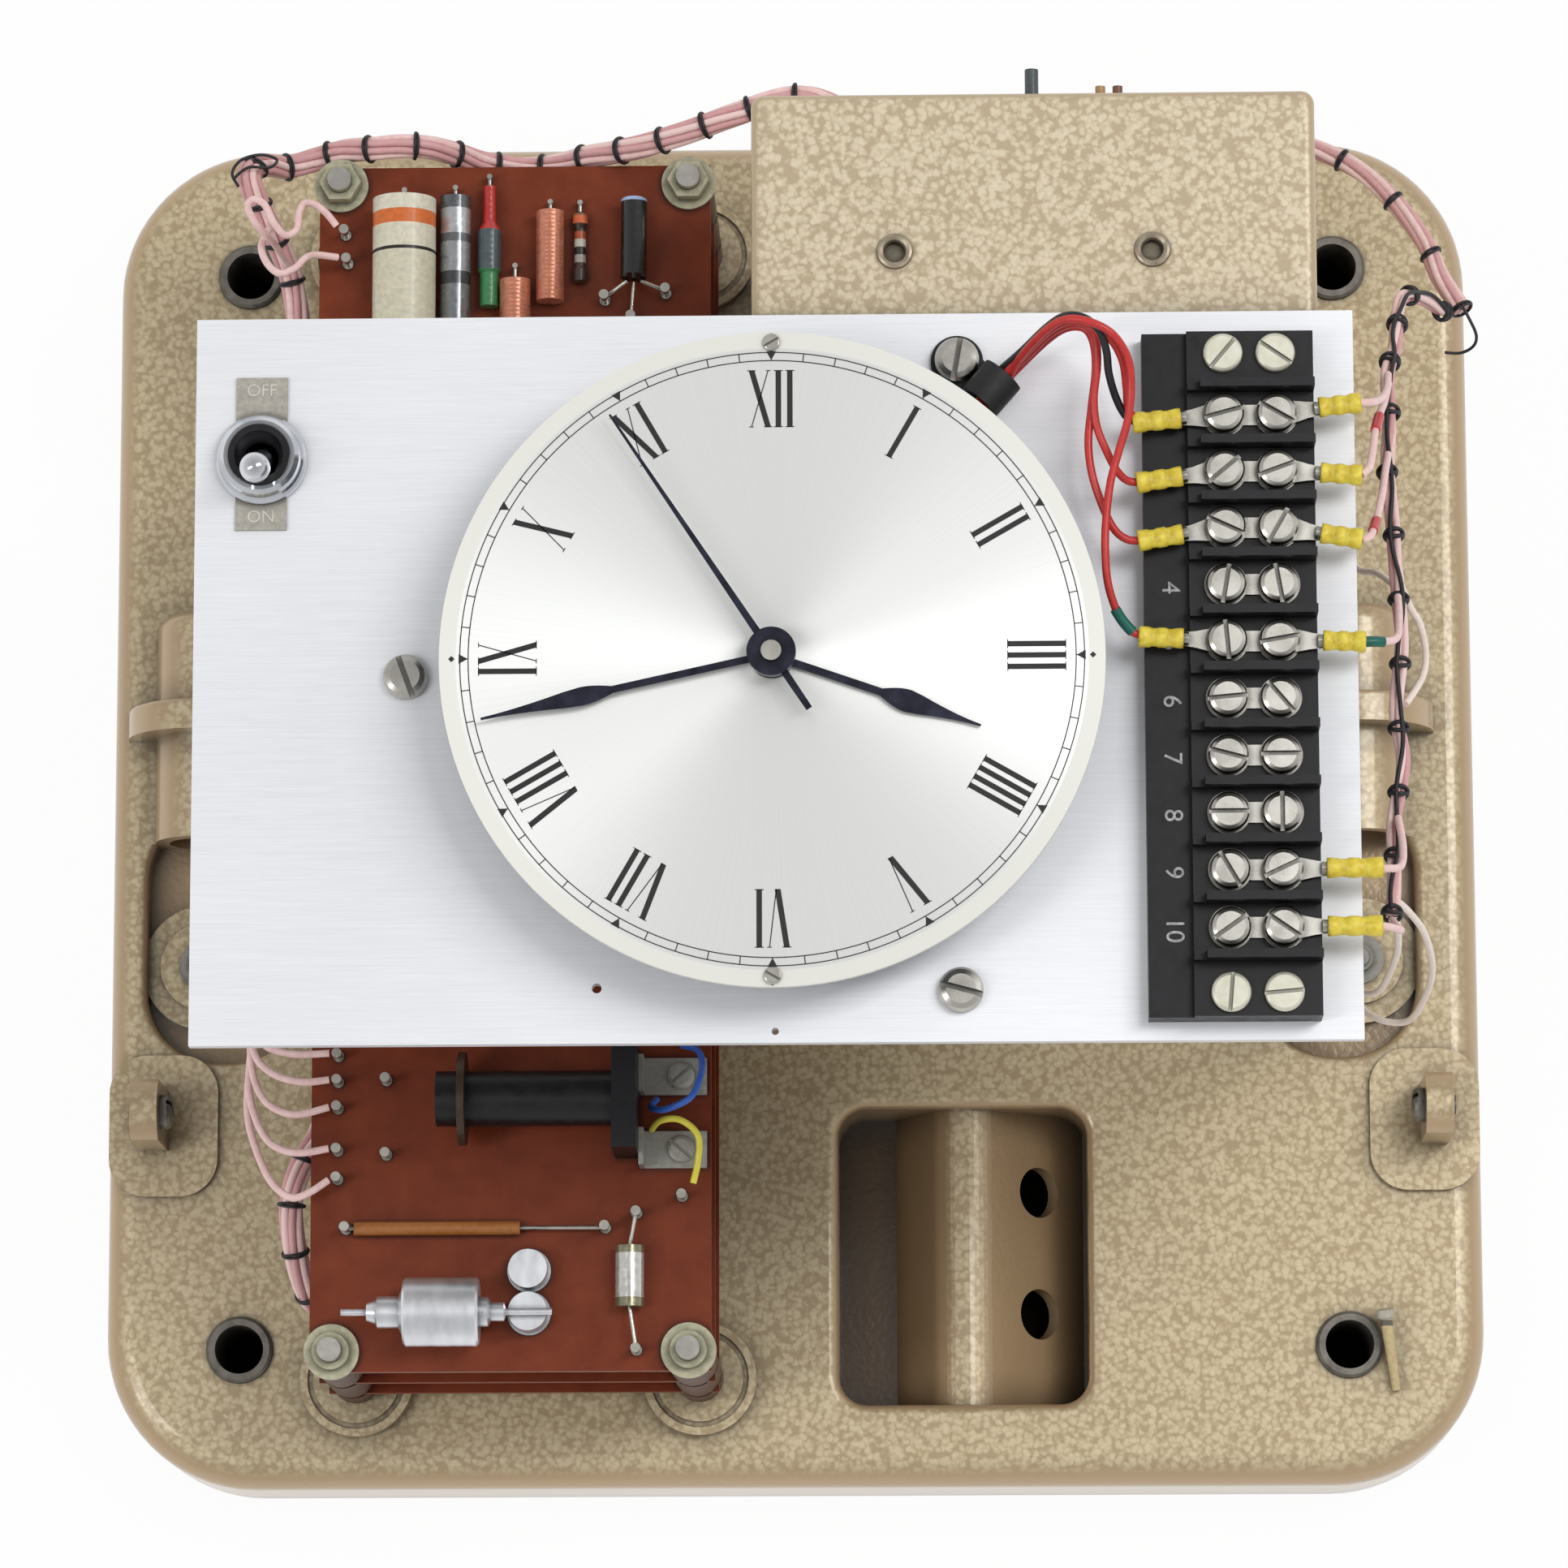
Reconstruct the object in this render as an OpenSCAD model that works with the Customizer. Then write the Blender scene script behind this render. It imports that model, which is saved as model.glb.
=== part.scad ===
// Movement unit of a quartz marine chronometer, laid on its back with its outer cover off.
// X is to the right of the dial, Y is towards twelve o'clock, Z is out of the dial.
// The origin is the middle of the cast base, in the plane of its back rim.

/* [Base casting] */
// Width of the base along X
base_w = 290; // [284:1:310]
// Length of the base along Y
base_d = 290; // [284:1:310]
// Depth of the casting from its back rim to its front face
base_h = 28; // [27:0.5:34]
// Radius of the casting's corners in plan
base_corner_r = 32; // [26:1:38]
// Radius of the rolled front edge
base_edge_r = 6; // [4:0.5:8]
// Wall thickness of the casting
base_wall = 4; // [3.5:0.25:4.5]

/* [Corner sleeves] */
// Spacing of the corner sleeves along X
sleeve_pitch_x = 233; // [230:1:236]
// Spacing of the corner sleeves along Y
sleeve_pitch_y = 232; // [230:1:236]
// Outer radius of a sleeve
sleeve_r = 7; // [6.5:0.1:7.5]
// Bore radius of a sleeve
sleeve_bore_r = 5.1; // [4.5:0.1:5.5]
// Height of a sleeve above the front face
sleeve_proud = 1.5; // [1:0.25:2.5]
// Length of the sleeved pin that leans at the lower right sleeve
leaning_pin_len = 15.5; // [13:0.5:17]

/* [Side wells] */
// Distance of a well's centre from the side of the base
well_inset = 27; // [27:0.25:27.5]
// Width of a well
well_w = 33; // [32.5:0.5:33]
// Length of a well
well_len = 55; // [54:0.5:56]
// Place of a well's lower end along Y
well_end_y = -55; // [-56:0.5:-54.5]
// Corner radius of a well
well_r = 15.5; // [12:0.5:15.5]
// Depth of a well
well_depth = 7; // [5:0.5:8]
// Radius of the rounded rim of a well
well_rim = 1.6; // [1.2:0.1:1.6]
// Radius of the cast barrel above a well
barrel_r = 10.5; // [9.5:0.25:11]
// Length of the barrel
barrel_len = 49; // [47:1:51]
// Radius of the barrel's collar
collar_r = 16.5; // [15:0.5:16.5]
// Width of the barrel's collar
collar_w = 6.5; // [5.5:0.5:8]
// Distance of the round boss from the side of the base
boss_inset = 22.5; // [22.5:0.25:23]
// Place of the round boss along Y
boss_y = -34; // [-35:0.5:-33]
// Radius of the round boss
boss_r = 13.4; // [12.4:0.2:13.4]
// Radius of the washer on the round boss
well_washer_r = 5.3; // [4.5:0.1:6]

/* [Cover lugs] */
// Distance of a lug's inner face from the side of the base
lug_inset = 13; // [12:0.5:14]
// Thickness of a lug
lug_t = 5.7; // [5:0.1:6.5]
// Width of a lug
lug_w = 12.7; // [12:0.1:14]
// Height of a lug above the front face
lug_h = 24; // [22:0.5:27]
// Place of the lugs along Y
lug_y = -67.6; // [-69:0.2:-66]
// Radius of the lug screw's shank
lug_screw_r = 2; // [1.5:0.1:2.5]

/* [Cable pocket] */
// Width of the pocket
pocket_w = 52.5; // [52:0.5:54]
// Length of the pocket
pocket_len = 62.5; // [60:0.5:65]
// Depth of the pocket
pocket_depth = 22; // [20:0.5:22.5]
// Place of the pocket's centre along X
pocket_x = 35.75; // [35:0.25:37]
// Place of the pocket's centre along Y
pocket_y = -96.75; // [-98:0.25:-95]
// Corner radius of the pocket in plan
pocket_r = 6; // [4:0.5:8]
// Radius of the pocket's rounded rim
pocket_rim = 2.2; // [1:0.2:2.4]
// Radius of the rounded crest between the two flanks
ridge_r = 8; // [7:0.5:9]
// Slope of the flank that holds the cable holes
flank_angle = 41; // [39:1:45]
// Slope of the steep flank
steep_angle = 62; // [58:1:68]
// Radius of a cable hole
cable_hole_r = 5.35; // [4.5:0.1:5.6]
// Spacing of the two cable holes
cable_hole_pitch = 25.9; // [24:0.1:27]
// Distance of the holes' middle from the pocket's middle, along Y
cable_hole_rise = 1.8; // [0:0.2:2.4]

/* [Circuit boards] */
// Width of a board
board_w = 81; // [79:0.5:83]
// Length of a board
board_len = 250; // [248:0.5:252]
// Thickness of a board
board_t = 2.4; // [1.6:0.1:3]
// Place of the boards' centre along X
board_x = -55.6; // [-56:0.1:-55]
// Place of the boards' centre along Y
board_y = -1.6; // [-2.5:0.1:-1]
// Spacing of the board studs along X
stud_pitch_x = 72; // [70:0.5:73]
// Spacing of the board studs along Y
stud_pitch_y = 242; // [240:0.5:243]
// Radius of a board stud
stud_r = 2.4; // [2:0.1:2.6]
// Outer radius of a spacer tube
spacer_r = 5; // [4.5:0.1:5.5]
// Length of the spacer under the lowest board
foot_spacer = 10.6; // [8:0.2:11]
// Length of the spacers between two boards
board_gap = 20.6; // [19:0.2:21]
// Height of the raised ring boss under each stud
stud_boss_h = 3; // [2:0.25:4]
// Radius of the raised ring boss
stud_boss_r = 11.9; // [10:0.1:12]
// Radius of a board washer
washer_r = 5.6; // [5:0.1:6]
// Thickness of a board washer
washer_t = 1.2; // [0.8:0.1:1.6]

/* [Supply box] */
// Width of the supply box
box_w = 110.5; // [108:0.5:111]
// Depth of the supply box along Y
box_d = 47.5; // [46:0.5:48]
// Place of the box's right wall
box_right = 106; // [105.5:0.5:107]
// Distance of the box's rear wall from the panel's upper edge
box_reach = 45.5; // [45:0.25:46.5]
// Thickness of the folded sheet
sheet_t = 1.5; // [1.2:0.1:2]
// Spacing of the two eyelets
eyelet_pitch = 50.3; // [48:0.5:53]
// Flange radius of an eyelet
eyelet_r = 3.6; // [3:0.1:4]

/* [Front panel] */
// Width of the panel
panel_w = 225; // [222:0.5:228]
// Height of the panel along Y
panel_d = 143; // [142:0.5:144]
// Thickness of the panel
panel_t = 3; // [2.5:0.25:3.5]
// Height of the panel's underside above the base's front face
panel_lift = 139; // [136:0.5:142]
// Radius of a panel post
post_r = 3.5; // [3:0.1:3.7]
// Radius of the three movement screws' heads
movement_screw_head_r = 4.3; // [4:0.1:4.6]
// Distance of the movement screws from the case's side
movement_screw_reach = 21.2; // [20:0.2:22]
// Radius of the movement screws' shanks
movement_screw_r = 2.4; // [2:0.1:2.6]

/* [Toggle switch] */
// Place of the switch along X
switch_x = -99.6; // [-100.5:0.1:-99]
// Place of the switch along Y
switch_y = 43.2; // [42:0.1:44]
// Outer radius of the dress nut
dress_nut_r = 8.9; // [8.5:0.1:9.4]
// Radius of the threaded bushing
bushing_r = 6; // [5.6:0.1:6.3]
// Lean of the lever to each side
toggle_tilt = 16; // [12:1:18]
// Length of the lever from its pivot
toggle_len = 18; // [16:0.5:21]
// Width of the indicator plate
plate_w = 10; // [9:0.5:12]
// Length of the indicator plate
plate_len = 30.3; // [29:0.1:32]

/* [Terminal block] */
// Spacing of the rows
row_pitch = 11.1; // [10.9:0.05:11.3]
// Number of rows
row_count = 10; // [10:1:10]
// Width of the block
block_w = 33; // [32.5:0.25:33.5]
// Length of the block
block_len = 133.6; // [133:0.1:136]
// Height of the block's floor
block_h = 8; // [7:0.25:9]
// Height of the barriers above the panel
barrier_h = 13.5; // [12.5:0.25:14.5]
// Thickness of a barrier
barrier_t = 1.7; // [1.4:0.1:1.8]
// Spacing of the two screws of a row
row_screw_pitch = 10.1; // [9.8:0.1:10.4]
// Head radius of a terminal screw
terminal_head_r = 3.85; // [3.5:0.05:3.9]
// Radius of a lug's sleeve
lug_sleeve_r = 1.95; // [1.8:0.05:2.1]
// Length of a lug's sleeve
lug_sleeve_len = 7.6; // [7.2:0.2:8]

/* [Movement] */
// Outer radius of the movement case
case_r = 50; // [49:0.25:50.5]
// Wall of the movement case
case_wall = 1.5; // [1.2:0.1:2]
// Depth of the case behind the panel's front face
case_back = 42; // [40:0.5:45]
// Height of the dial's front above the panel
dial_lift = 18.7; // [18.2:0.1:19.5]
// Overhang of the dial beyond the case
dial_overhang = 13.5; // [12.5:0.25:14]
// Thickness of the dial
dial_t = 1.4; // [1:0.1:1.6]
// Distance of the dial screws from the dial's rim
dial_screw_inset = 2.1; // [1.9:0.1:2.4]
// Gear module of the going train's slow pair
train_module = 0.5; // [0.48:0.01:0.5]
// Teeth of the centre wheel
centre_teeth = 64; // [64:1:64]
// Teeth of a going train pinion
pinion_teeth = 8; // [8:1:8]
// Teeth of the third wheel
third_teeth = 60; // [60:1:60]
// Gear module of the cannon pinion and the minute wheel
motion_module = 0.5; // [0.48:0.01:0.52]
// Teeth of the cannon pinion
cannon_teeth = 12; // [12:1:12]
// Teeth of the minute wheel
minute_wheel_teeth = 36; // [36:1:36]
// Teeth of the minute wheel's pinion
minute_pinion_teeth = 10; // [10:1:10]
// Teeth of the hour wheel
hour_wheel_teeth = 40; // [40:1:40]
// Thickness of a wheel
wheel_t = 2; // [1.5:0.1:2]
// Thickness of a movement plate
frame_plate_t = 2; // [1.6:0.1:2]
// Radius of the seconds arbor
seconds_arbor_r = 0.8; // [0.7:0.05:0.85]
// Outer radius of the minute pipe
minute_pipe_r = 2; // [1.8:0.05:2.1]
// Outer radius of the hour pipe
hour_pipe_r = 3.2; // [3:0.05:3.4]
// Radius of the drive motor
motor_r = 20; // [18:0.5:22]
// Length of the drive motor
motor_len = 15; // [13:0.5:15]

/* [Hands] */
// Length of the hour hand
hour_len = 42; // [39:0.5:44]
// Clockwise angle of the hour hand from twelve
hour_angle = 109.2; // [105:0.1:112]
// Length of the minute hand
minute_len = 56.6; // [54:0.2:58]
// Clockwise angle of the minute hand from twelve
minute_angle = 257.6; // [250:0.1:265]
// Length of the seconds hand
seconds_len = 55.8; // [54:0.2:58]
// Length of the seconds hand's tail
seconds_tail = 13; // [11:0.5:15]
// Clockwise angle of the seconds hand from twelve
seconds_angle = 326.5; // [320:0.5:335]
// Thickness of a hand
hand_t = 0.5; // [0.4:0.05:0.6]
// Radius of a hand's hub
hub_r = 4.7; // [4.4:0.1:5]

/* [Board components] */
// Radius of the cream capacitor
cream_r = 6.5; // [6:0.1:6.8]
// Length of the cream capacitor
cream_len = 45; // [40:1:50]
// Radius of the choke's end disc
choke_disc_r = 9.45; // [9:0.05:9.8]
// Radius of the choke's winding
choke_r = 5.6; // [5:0.1:6]
// Radius of the silver canister
canister_r = 6.9; // [6.5:0.1:7.2]
// Length of the silver canister
canister_len = 15.2; // [14:0.2:17]
// Radius of a round transistor can
can_r = 3.9; // [3.6:0.1:4]
// Radius of a component lead
lead_r = 0.45; // [0.4:0.05:0.6]

/* [Wiring] */
// Radius of the thick laced bundle
trunk_r = 2.9; // [2.6:0.1:2.9]
// Radius of the thin laced bundle
run_r = 1.7; // [1.5:0.1:1.9]
// Radius of one insulated wire
wire_r = 0.8; // [0.7:0.05:0.85]

/* [Hidden] */

// Radial clearance of a fixed pin in its hole, and of a running shaft in its bearing
fit = 0.05;
run_fit = 0.06;
// Clearance that keeps neighbouring pieces of one assembly apart
gap = 0.3;
// Allowance by which a cut runs past a face
over = 1;
corners = [[1, 1], [-1, 1], [-1, -1], [1, -1]];

// Distances that follow from the base, the panel and the case
well_x = base_w / 2 - well_inset;
boss_x = base_w / 2 - boss_inset;
lug_x = base_w / 2 - lug_inset;
well_y = well_end_y + well_len / 2;
dial_r = case_r + dial_overhang;
dial_screw_circle = dial_r - dial_screw_inset;
movement_screw_circle = case_r + movement_screw_reach;
box_rear = panel_d / 2 + box_reach;
// Both wells with their barrels sit a little to the left of the middle
well_shift = -2.6;

// Heights
panel_z = base_h + panel_lift;
panel_top = panel_z + panel_t;
boss_top = base_h + stud_boss_h;
low_board_z = boss_top + foot_spacer;
mid_board_z = low_board_z + board_t + board_gap;
top_board_z = mid_board_z + board_t + board_gap;
board_top = top_board_z + board_t;
case_z = panel_top - case_back;
dial_front = panel_top + dial_lift;
dial_back = dial_front - dial_t;
well_floor = base_h - well_depth;
stud_depth = 7;
stud_bore_r = stud_r + fit;

// Heights inside the movement, from the case's floor to the hands
motor_z = case_z + case_wall + 1;
back_plate_z = motor_z + motor_len;
front_plate_z = back_plate_z + frame_plate_t + 27;
front_plate_top = front_plate_z + frame_plate_t;
third_wheel_z = back_plate_z + frame_plate_t + 4;
seconds_pinion_z = third_wheel_z - 2;
seconds_pinion_len = wheel_t + 4;
minute_pipe_z = seconds_pinion_z + seconds_pinion_len + 1;
centre_wheel_z = minute_pipe_z + 4;
third_pinion_z = centre_wheel_z - 2.5;
third_pinion_len = wheel_t + 5;
cannon_z = front_plate_top + 1;
cannon_len = wheel_t + 1;
minute_wheel_z = cannon_z + 0.5;
hour_wheel_z = cannon_z + cannon_len + 1;
minute_pinion_len = hour_wheel_z + wheel_t - minute_wheel_z - wheel_t + 0.4;
hour_hand_z = dial_front + 0.9;
minute_hand_z = hour_hand_z + hand_t + 0.9;
seconds_hand_z = minute_hand_z + hand_t + 1.1;
seconds_hub_h = 2;
cap_r = 1.95;

// Gear centre distances and the module of the fast pairs that share them
third_arbor_dist = train_module * (centre_teeth + pinion_teeth) / 2;
fast_module = third_arbor_dist * 2 / (third_teeth + pinion_teeth);
motion_dist = motion_module * (cannon_teeth + minute_wheel_teeth) / 2;
hour_module = motion_dist * 2 / (hour_wheel_teeth + minute_pinion_teeth);
third_dir = 90;
motion_dir = 210;
third_arbor_r = 0.9;
minute_post_r = 1;
frame_plate_r = case_r - case_wall - 0.1;
pillar_circle = case_r - 11;
pillar_r = 3;

// Places that several pieces share
board_studs_at = [for (c = corners)
    [board_x + c[0] * stud_pitch_x / 2, board_y + c[1] * stud_pitch_y / 2]];
sleeves_at = [for (c = corners) [c[0] * sleeve_pitch_x / 2, c[1] * sleeve_pitch_y / 2]];
post_x = panel_w / 2 - 3.7;
upper_post_y = panel_d / 2 - 6.5;
lower_post_y = 27.5 - panel_d / 2;
post_foot_r = 4.4;
posts_at = [for (s = [-1, 1]) for (y = [upper_post_y, lower_post_y])
    [s * post_x, y, y > 0 ? base_h : well_floor]];
panel_stud_r = 2;
panel_stud_len = 8;
movement_screw_angles = [60, 180, 300];
box_left = box_right - box_w;
box_front = box_rear - box_d;
box_h = panel_z - base_h;
block_left = 71.3;
block_y = -1.2;
block_screw_y = 62.3;
screw_x1 = block_left + 15.6;
screw_x2 = screw_x1 + row_screw_pitch;
strip_w = 11;
link_t = 0.8;
lug_plate_t = 0.8;
link_z = panel_top + block_h;
left_lug_rows = [0, 1, 2, 4];
left_lug_turns = [5.5, 8, 9.5, -2.5];
right_lug_rows = [0, 1, 2, 4, 8, 9];
right_lug_turns = [7, -4.5, -10, -2, 0, 0];
lug_reach = 7.3;
clip_x = movement_screw_circle * cos(60) + 6.6;
clip_y = movement_screw_circle * sin(60) - 6.2;
clip_bore_r = 3.2;
clip_wall = 1.1;
clip_turn = 49;
clip_strap_t = 1.2;
barrel_y = -8;
barrel_edge_r = 3.5;
collar_place = 22.2;
end_recess_r = 7.5;
end_recess = 3.5;
well_stud_r = 2;
boss_step = 4;
pin_head_r = 1.9;

// Ridge of the cable pocket, seen along Y
pocket_floor = base_h - pocket_depth;
crest_x = pocket_x + 0.75;
crest_z = base_h - 3 - ridge_r;
flank_hole_reach = 13.4;
ridge_wall = 3;

function row_y(i) = block_y + ((row_count - 1) / 2 - i) * row_pitch;
function unit(v) = v / norm(v);
function arc(x, y, r, a0, a1, n) = [for (i = [0 : n])
    [x + r * cos(a0 + (a1 - a0) * i / n), y + r * sin(a0 + (a1 - a0) * i / n)]];
function ridge_outline(r, foot_z) = let(
        steep = [crest_x + r * cos(90 + steep_angle), crest_z + r * sin(90 + steep_angle)],
        gentle = [crest_x + r * cos(90 - flank_angle), crest_z + r * sin(90 - flank_angle)])
    concat(
        [[steep[0] - (steep[1] - foot_z) / tan(steep_angle), foot_z]],
        arc(crest_x, crest_z, r, 90 + steep_angle, 90 - flank_angle, 14),
        [[gentle[0] + (gentle[1] - foot_z) / tan(flank_angle), foot_z]]);

// Involute tooth outlines
pressure = 25;
wheel_head = 0.72;
pinion_head = 0.9;
wheel_root = 1.1;
pinion_root = 1;
tooth_fill = 0.86;
function involute(a) = tan(a) - a * PI / 180;
function half_tooth(r, base_r, pitch_r, n) = 90 / n * tooth_fill
    + (involute(pressure) - involute(acos(min(1, base_r / max(r, base_r))))) * 180 / PI;
function gear_outline(n, m, head, root) = let(
        pr = n * m / 2, br = pr * cos(pressure), tip = pr + head * m, low = pr - root * m,
        radii = [low, max(low, br) + 0.01 * m, pr, (pr + tip) / 2, tip])
    [for (i = [0 : n - 1]) for (k = [0 : 9]) let(
            j = k < 5 ? k : 9 - k,
            a = 360 / n * i + (k < 5 ? -1 : 1) * half_tooth(radii[j], br, pr, n))
        radii[j] * [cos(a), sin(a)]];

// Smooth curve through hand-set points, and a tube of flat rings along it
function curve_at(p, i, t) = let(
        a = p[max(i - 1, 0)], b = p[i], c = p[i + 1], d = p[min(i + 2, len(p) - 1)])
    0.5 * (2 * b + (c - a) * t + (2 * a - 5 * b + 4 * c - d) * t * t
        + (3 * b - a - 3 * c + d) * t * t * t);
function curve(p, n) = concat([for (i = [0 : len(p) - 2]) for (k = [0 : n - 1]) curve_at(p, i, k / n)],
    [p[len(p) - 1]]);
function along(p, i) = unit(p[min(i + 1, len(p) - 1)] - p[max(i - 1, 0)]);
function square_to(a, t) = unit(a - (a * t) * t);
function first_side(t) = unit(cross(t, abs(t[2]) < 0.9 ? [0, 0, 1] : [1, 0, 0]));
function side_list(p) = [for (i = 0, a = first_side(along(p, 0)); i < len(p);
    i = i + 1, a = i < len(p) ? square_to(a, along(p, i)) : a) a];
tube_sides = 8;
function tube_rings(p, r) = let(s = side_list(p)) [for (i = [0 : len(p) - 1])
    let(u = s[i], v = cross(along(p, i), u)) for (k = [0 : tube_sides - 1])
        p[i] + r * (cos(360 / tube_sides * k) * u + sin(360 / tube_sides * k) * v)];
function tube_faces(n) = concat(
    [[for (k = [0 : tube_sides - 1]) k]],
    [for (i = [0 : n - 2]) for (k = [0 : tube_sides - 1]) let(
            a = i * tube_sides + k, b = i * tube_sides + (k + 1) % tube_sides)
        [a, a + tube_sides, b + tube_sides, b]],
    [[for (k = [tube_sides - 1 : -1 : 0]) (n - 1) * tube_sides + k]]);

// Routes of the wiring, in millimetres
trunk_route = [[-100, -112, 62], [-100, -104, 71], [-100, -92, 76], [-100, -70, 77],
    [-100, -30, 77], [-100, 20, 77], [-100, 60, 79], [-101.5, 86, 88], [-103, 100, 98],
    [-106, 113, 98], [-106, 123, 92], [-100, 128, 84], [-88, 128, 80], [-75, 129, 79],
    [-62, 128, 78], [-42, 128, 79],
    [-30, 129, 82], [-18, 132, 86], [-6, 135, 92], [6, 135, 98], [22, 128, 100], [50, 124, 102],
    [72, 127, 108], [92, 126, 108], [108, 121, 109], [120, 114, 110], [130, 102, 110],
    [134, 93, 110], [138, 86, 112]];
run_route = [[134, 85, 114], [129, 86, 118], [124, 84, 124], [121, 76, 136], [119, 66, 144], [119, 53, 148],
    [121, 38, 150], [121, 24, 150], [122, 10, 150], [121, -4, 150], [122, -14, 150],
    [120, -26, 151], [120, -35, 152], [119, -45, 156]];
bottom_pins_y = [-62.6, -67.9, -73.3, -81.9, -87.7];
pin_column_x = -90.6;
bottom_loops = [for (y = bottom_pins_y) [[-101, y + 4, 81.4], [-104, y + 3, 85],
    [-103.5, y - 2, 91], [-97.5, y - 2, 96], [-92.2, y, 95.6]]];
top_loops = [[[-102, 105, 102.6], [-100, 110, 105], [-96, 112, 103], [-94, 110.5, 99], [-92.2, 109, 96]],
    [[-100, 100, 102], [-98, 98, 104.5], [-95, 99, 103], [-93, 101, 99], [-91.8, 102.6, 96]]];
right_branches = [
    [[119.5, 62, 149], [119.8, 58, 160], [119.3, 53.5, 173], [116.6, 51.4, 179], [113.4, 50.7, 180.1]],
    [[119.8, 50, 151.8], [120.3, 45, 161], [119.4, 39.5, 173], [116.6, 37, 179], [113.4, 36.5, 180.1]],
    [[121.2, 40, 153.4], [121, 33, 162], [119.8, 26.5, 173], [116.6, 24.2, 179], [113.3, 23.8, 180.1]],
    [[121.4, 18, 153.4], [121, 12, 162], [119.8, 6, 173], [116.8, 4, 179], [113.5, 3.8, 180.1]],
    [[120.6, -26, 154.4], [120.9, -33, 163], [119.8, -38.5, 173], [116.8, -40, 179], [113.5, -40, 180.1]],
    [[118.9, -46.3, 156.6], [119.8, -49.5, 165], [119.3, -51, 174], [116.6, -51.2, 179],
        [113.5, -51.1, 180.1]]];
red_lead_routes = [
    [[30.1, 38.5, 176.9], [31.7, 40.6, 176.9], [38.9, 51.7, 176.2], [45.5, 59.3, 176.2], [49.5, 62, 182.5],
        [54, 63.5, 189.5], [59, 62.8, 192.5], [63, 59.5, 191.5], [65.3, 54.5, 187.5], [65.5, 50, 182.5],
        [66.3, 47.2, 180.2], [68.8, 46.3, 179.6]],
    [[29.2, 39.2, 173.5], [30.8, 41.3, 173.5], [38.1, 52.4, 172.8], [44.7, 60, 172.8], [48.5, 61.8, 176.8],
        [53, 61.5, 183.5], [57, 60.5, 187.5], [61, 56.5, 188.5], [63.5, 50.5, 187], [64.6, 44, 184.6],
        [65.2, 38.8, 181.8], [66.6, 35.7, 180.3], [69, 35.1, 180.1]],
    [[31.5, 37.4, 175.6], [33.1, 39.5, 175.6], [40.3, 50.5, 174.9], [46.9, 58.1, 174.9], [51.5, 59.5, 180],
        [56, 58, 185], [59.5, 52.5, 186.5], [61.5, 45, 185.5], [62.6, 37, 184.2], [63.6, 30.5, 182.4],
        [64.8, 25.8, 181], [66.6, 23.5, 180.2], [69, 23.5, 180.1]],
    [[31, 37.8, 173.5], [32.6, 39.9, 173.5], [39.7, 51, 172.8], [46.3, 58.6, 172.8], [51, 59.5, 175.5],
        [55.5, 56.5, 179.5], [58.5, 50, 182], [59.8, 41, 183], [60.8, 31, 183.2], [62, 21, 182.8],
        [63, 13, 182], [64.2, 8, 181], [66.4, 5.4, 180.3], [68.9, 5.1, 180.1]]];
black_lead_route = [[28.7, 39.6, 175.6], [30.3, 41.7, 175.6], [37.5, 52.9, 174.9], [44.1, 60.5, 174.9],
    [48, 63, 180.5], [52.5, 65.8, 188.5], [58, 67, 194], [63, 64.5, 195.5], [66.5, 58, 192],
    [68, 52.5, 187], [67.2, 49, 182.6], [68.4, 47.8, 180.8]];
blue_link_route = [[-26, -72, 92.4], [-27, -74, 96], [-24, -75, 100], [-19, -73, 102], [-17, -69, 101],
    [-16.6, -65, 98], [-18, -62, 94], [-21, -61, 92.4]];
yellow_link_route = [[-27, -78, 92.4], [-25, -77, 98], [-21, -77, 99], [-17.5, -80, 98],
    [-17.5, -85, 97], [-18.5, -89.5, 96.4]];
trunk_steps = 2;
tie_pitch = 3;

module slab_edge(r, h, edge) {
    difference() {
        square([r, h]);
        translate([r - edge, h - edge]) difference() {
            square(edge + over);
            circle(edge, $fn = 64);
        }
    }
}

// Block with round corners in plan and a rolled upper edge
module rolled_slab(w, d, h, r, edge) {
    translate([-(w / 2 - r), -(d / 2 - r), 0]) cube([w - 2 * r, d - 2 * r, h]);
    for (i = [0 : 3])
        translate([corners[i][0] * (w / 2 - r), corners[i][1] * (d / 2 - r), 0])
            rotate([0, 0, 90 * i])
                rotate_extrude(angle = 90, $fn = 96) slab_edge(r, h, edge);
    for (s = [0, 1]) {
        rotate([0, 0, 180 * s]) translate([w / 2 - r, d / 2 - r, 0])
            rotate([90, 0, 0]) linear_extrude(d - 2 * r) slab_edge(r, h, edge);
        rotate([0, 0, 180 * s + 90]) translate([d / 2 - r, w / 2 - r, 0])
            rotate([90, 0, 0]) linear_extrude(w - 2 * r) slab_edge(r, h, edge);
    }
}

module rounded_rect(w, d, r) {
    union() {
        square([w - 2 * r, d], center = true);
        square([w, d - 2 * r], center = true);
        for (c = corners)
            translate([c[0] * (w / 2 - r), c[1] * (d / 2 - r)]) circle(r, $fn = 64);
    }
}

module ring(outer, inner, h) {
    difference() {
        cylinder(r = outer, h = h, $fn = outer > 20 ? 180 : 64);
        translate([0, 0, -over]) cylinder(r = inner, h = h + 2 * over, $fn = outer > 20 ? 180 : 64);
    }
}

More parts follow.
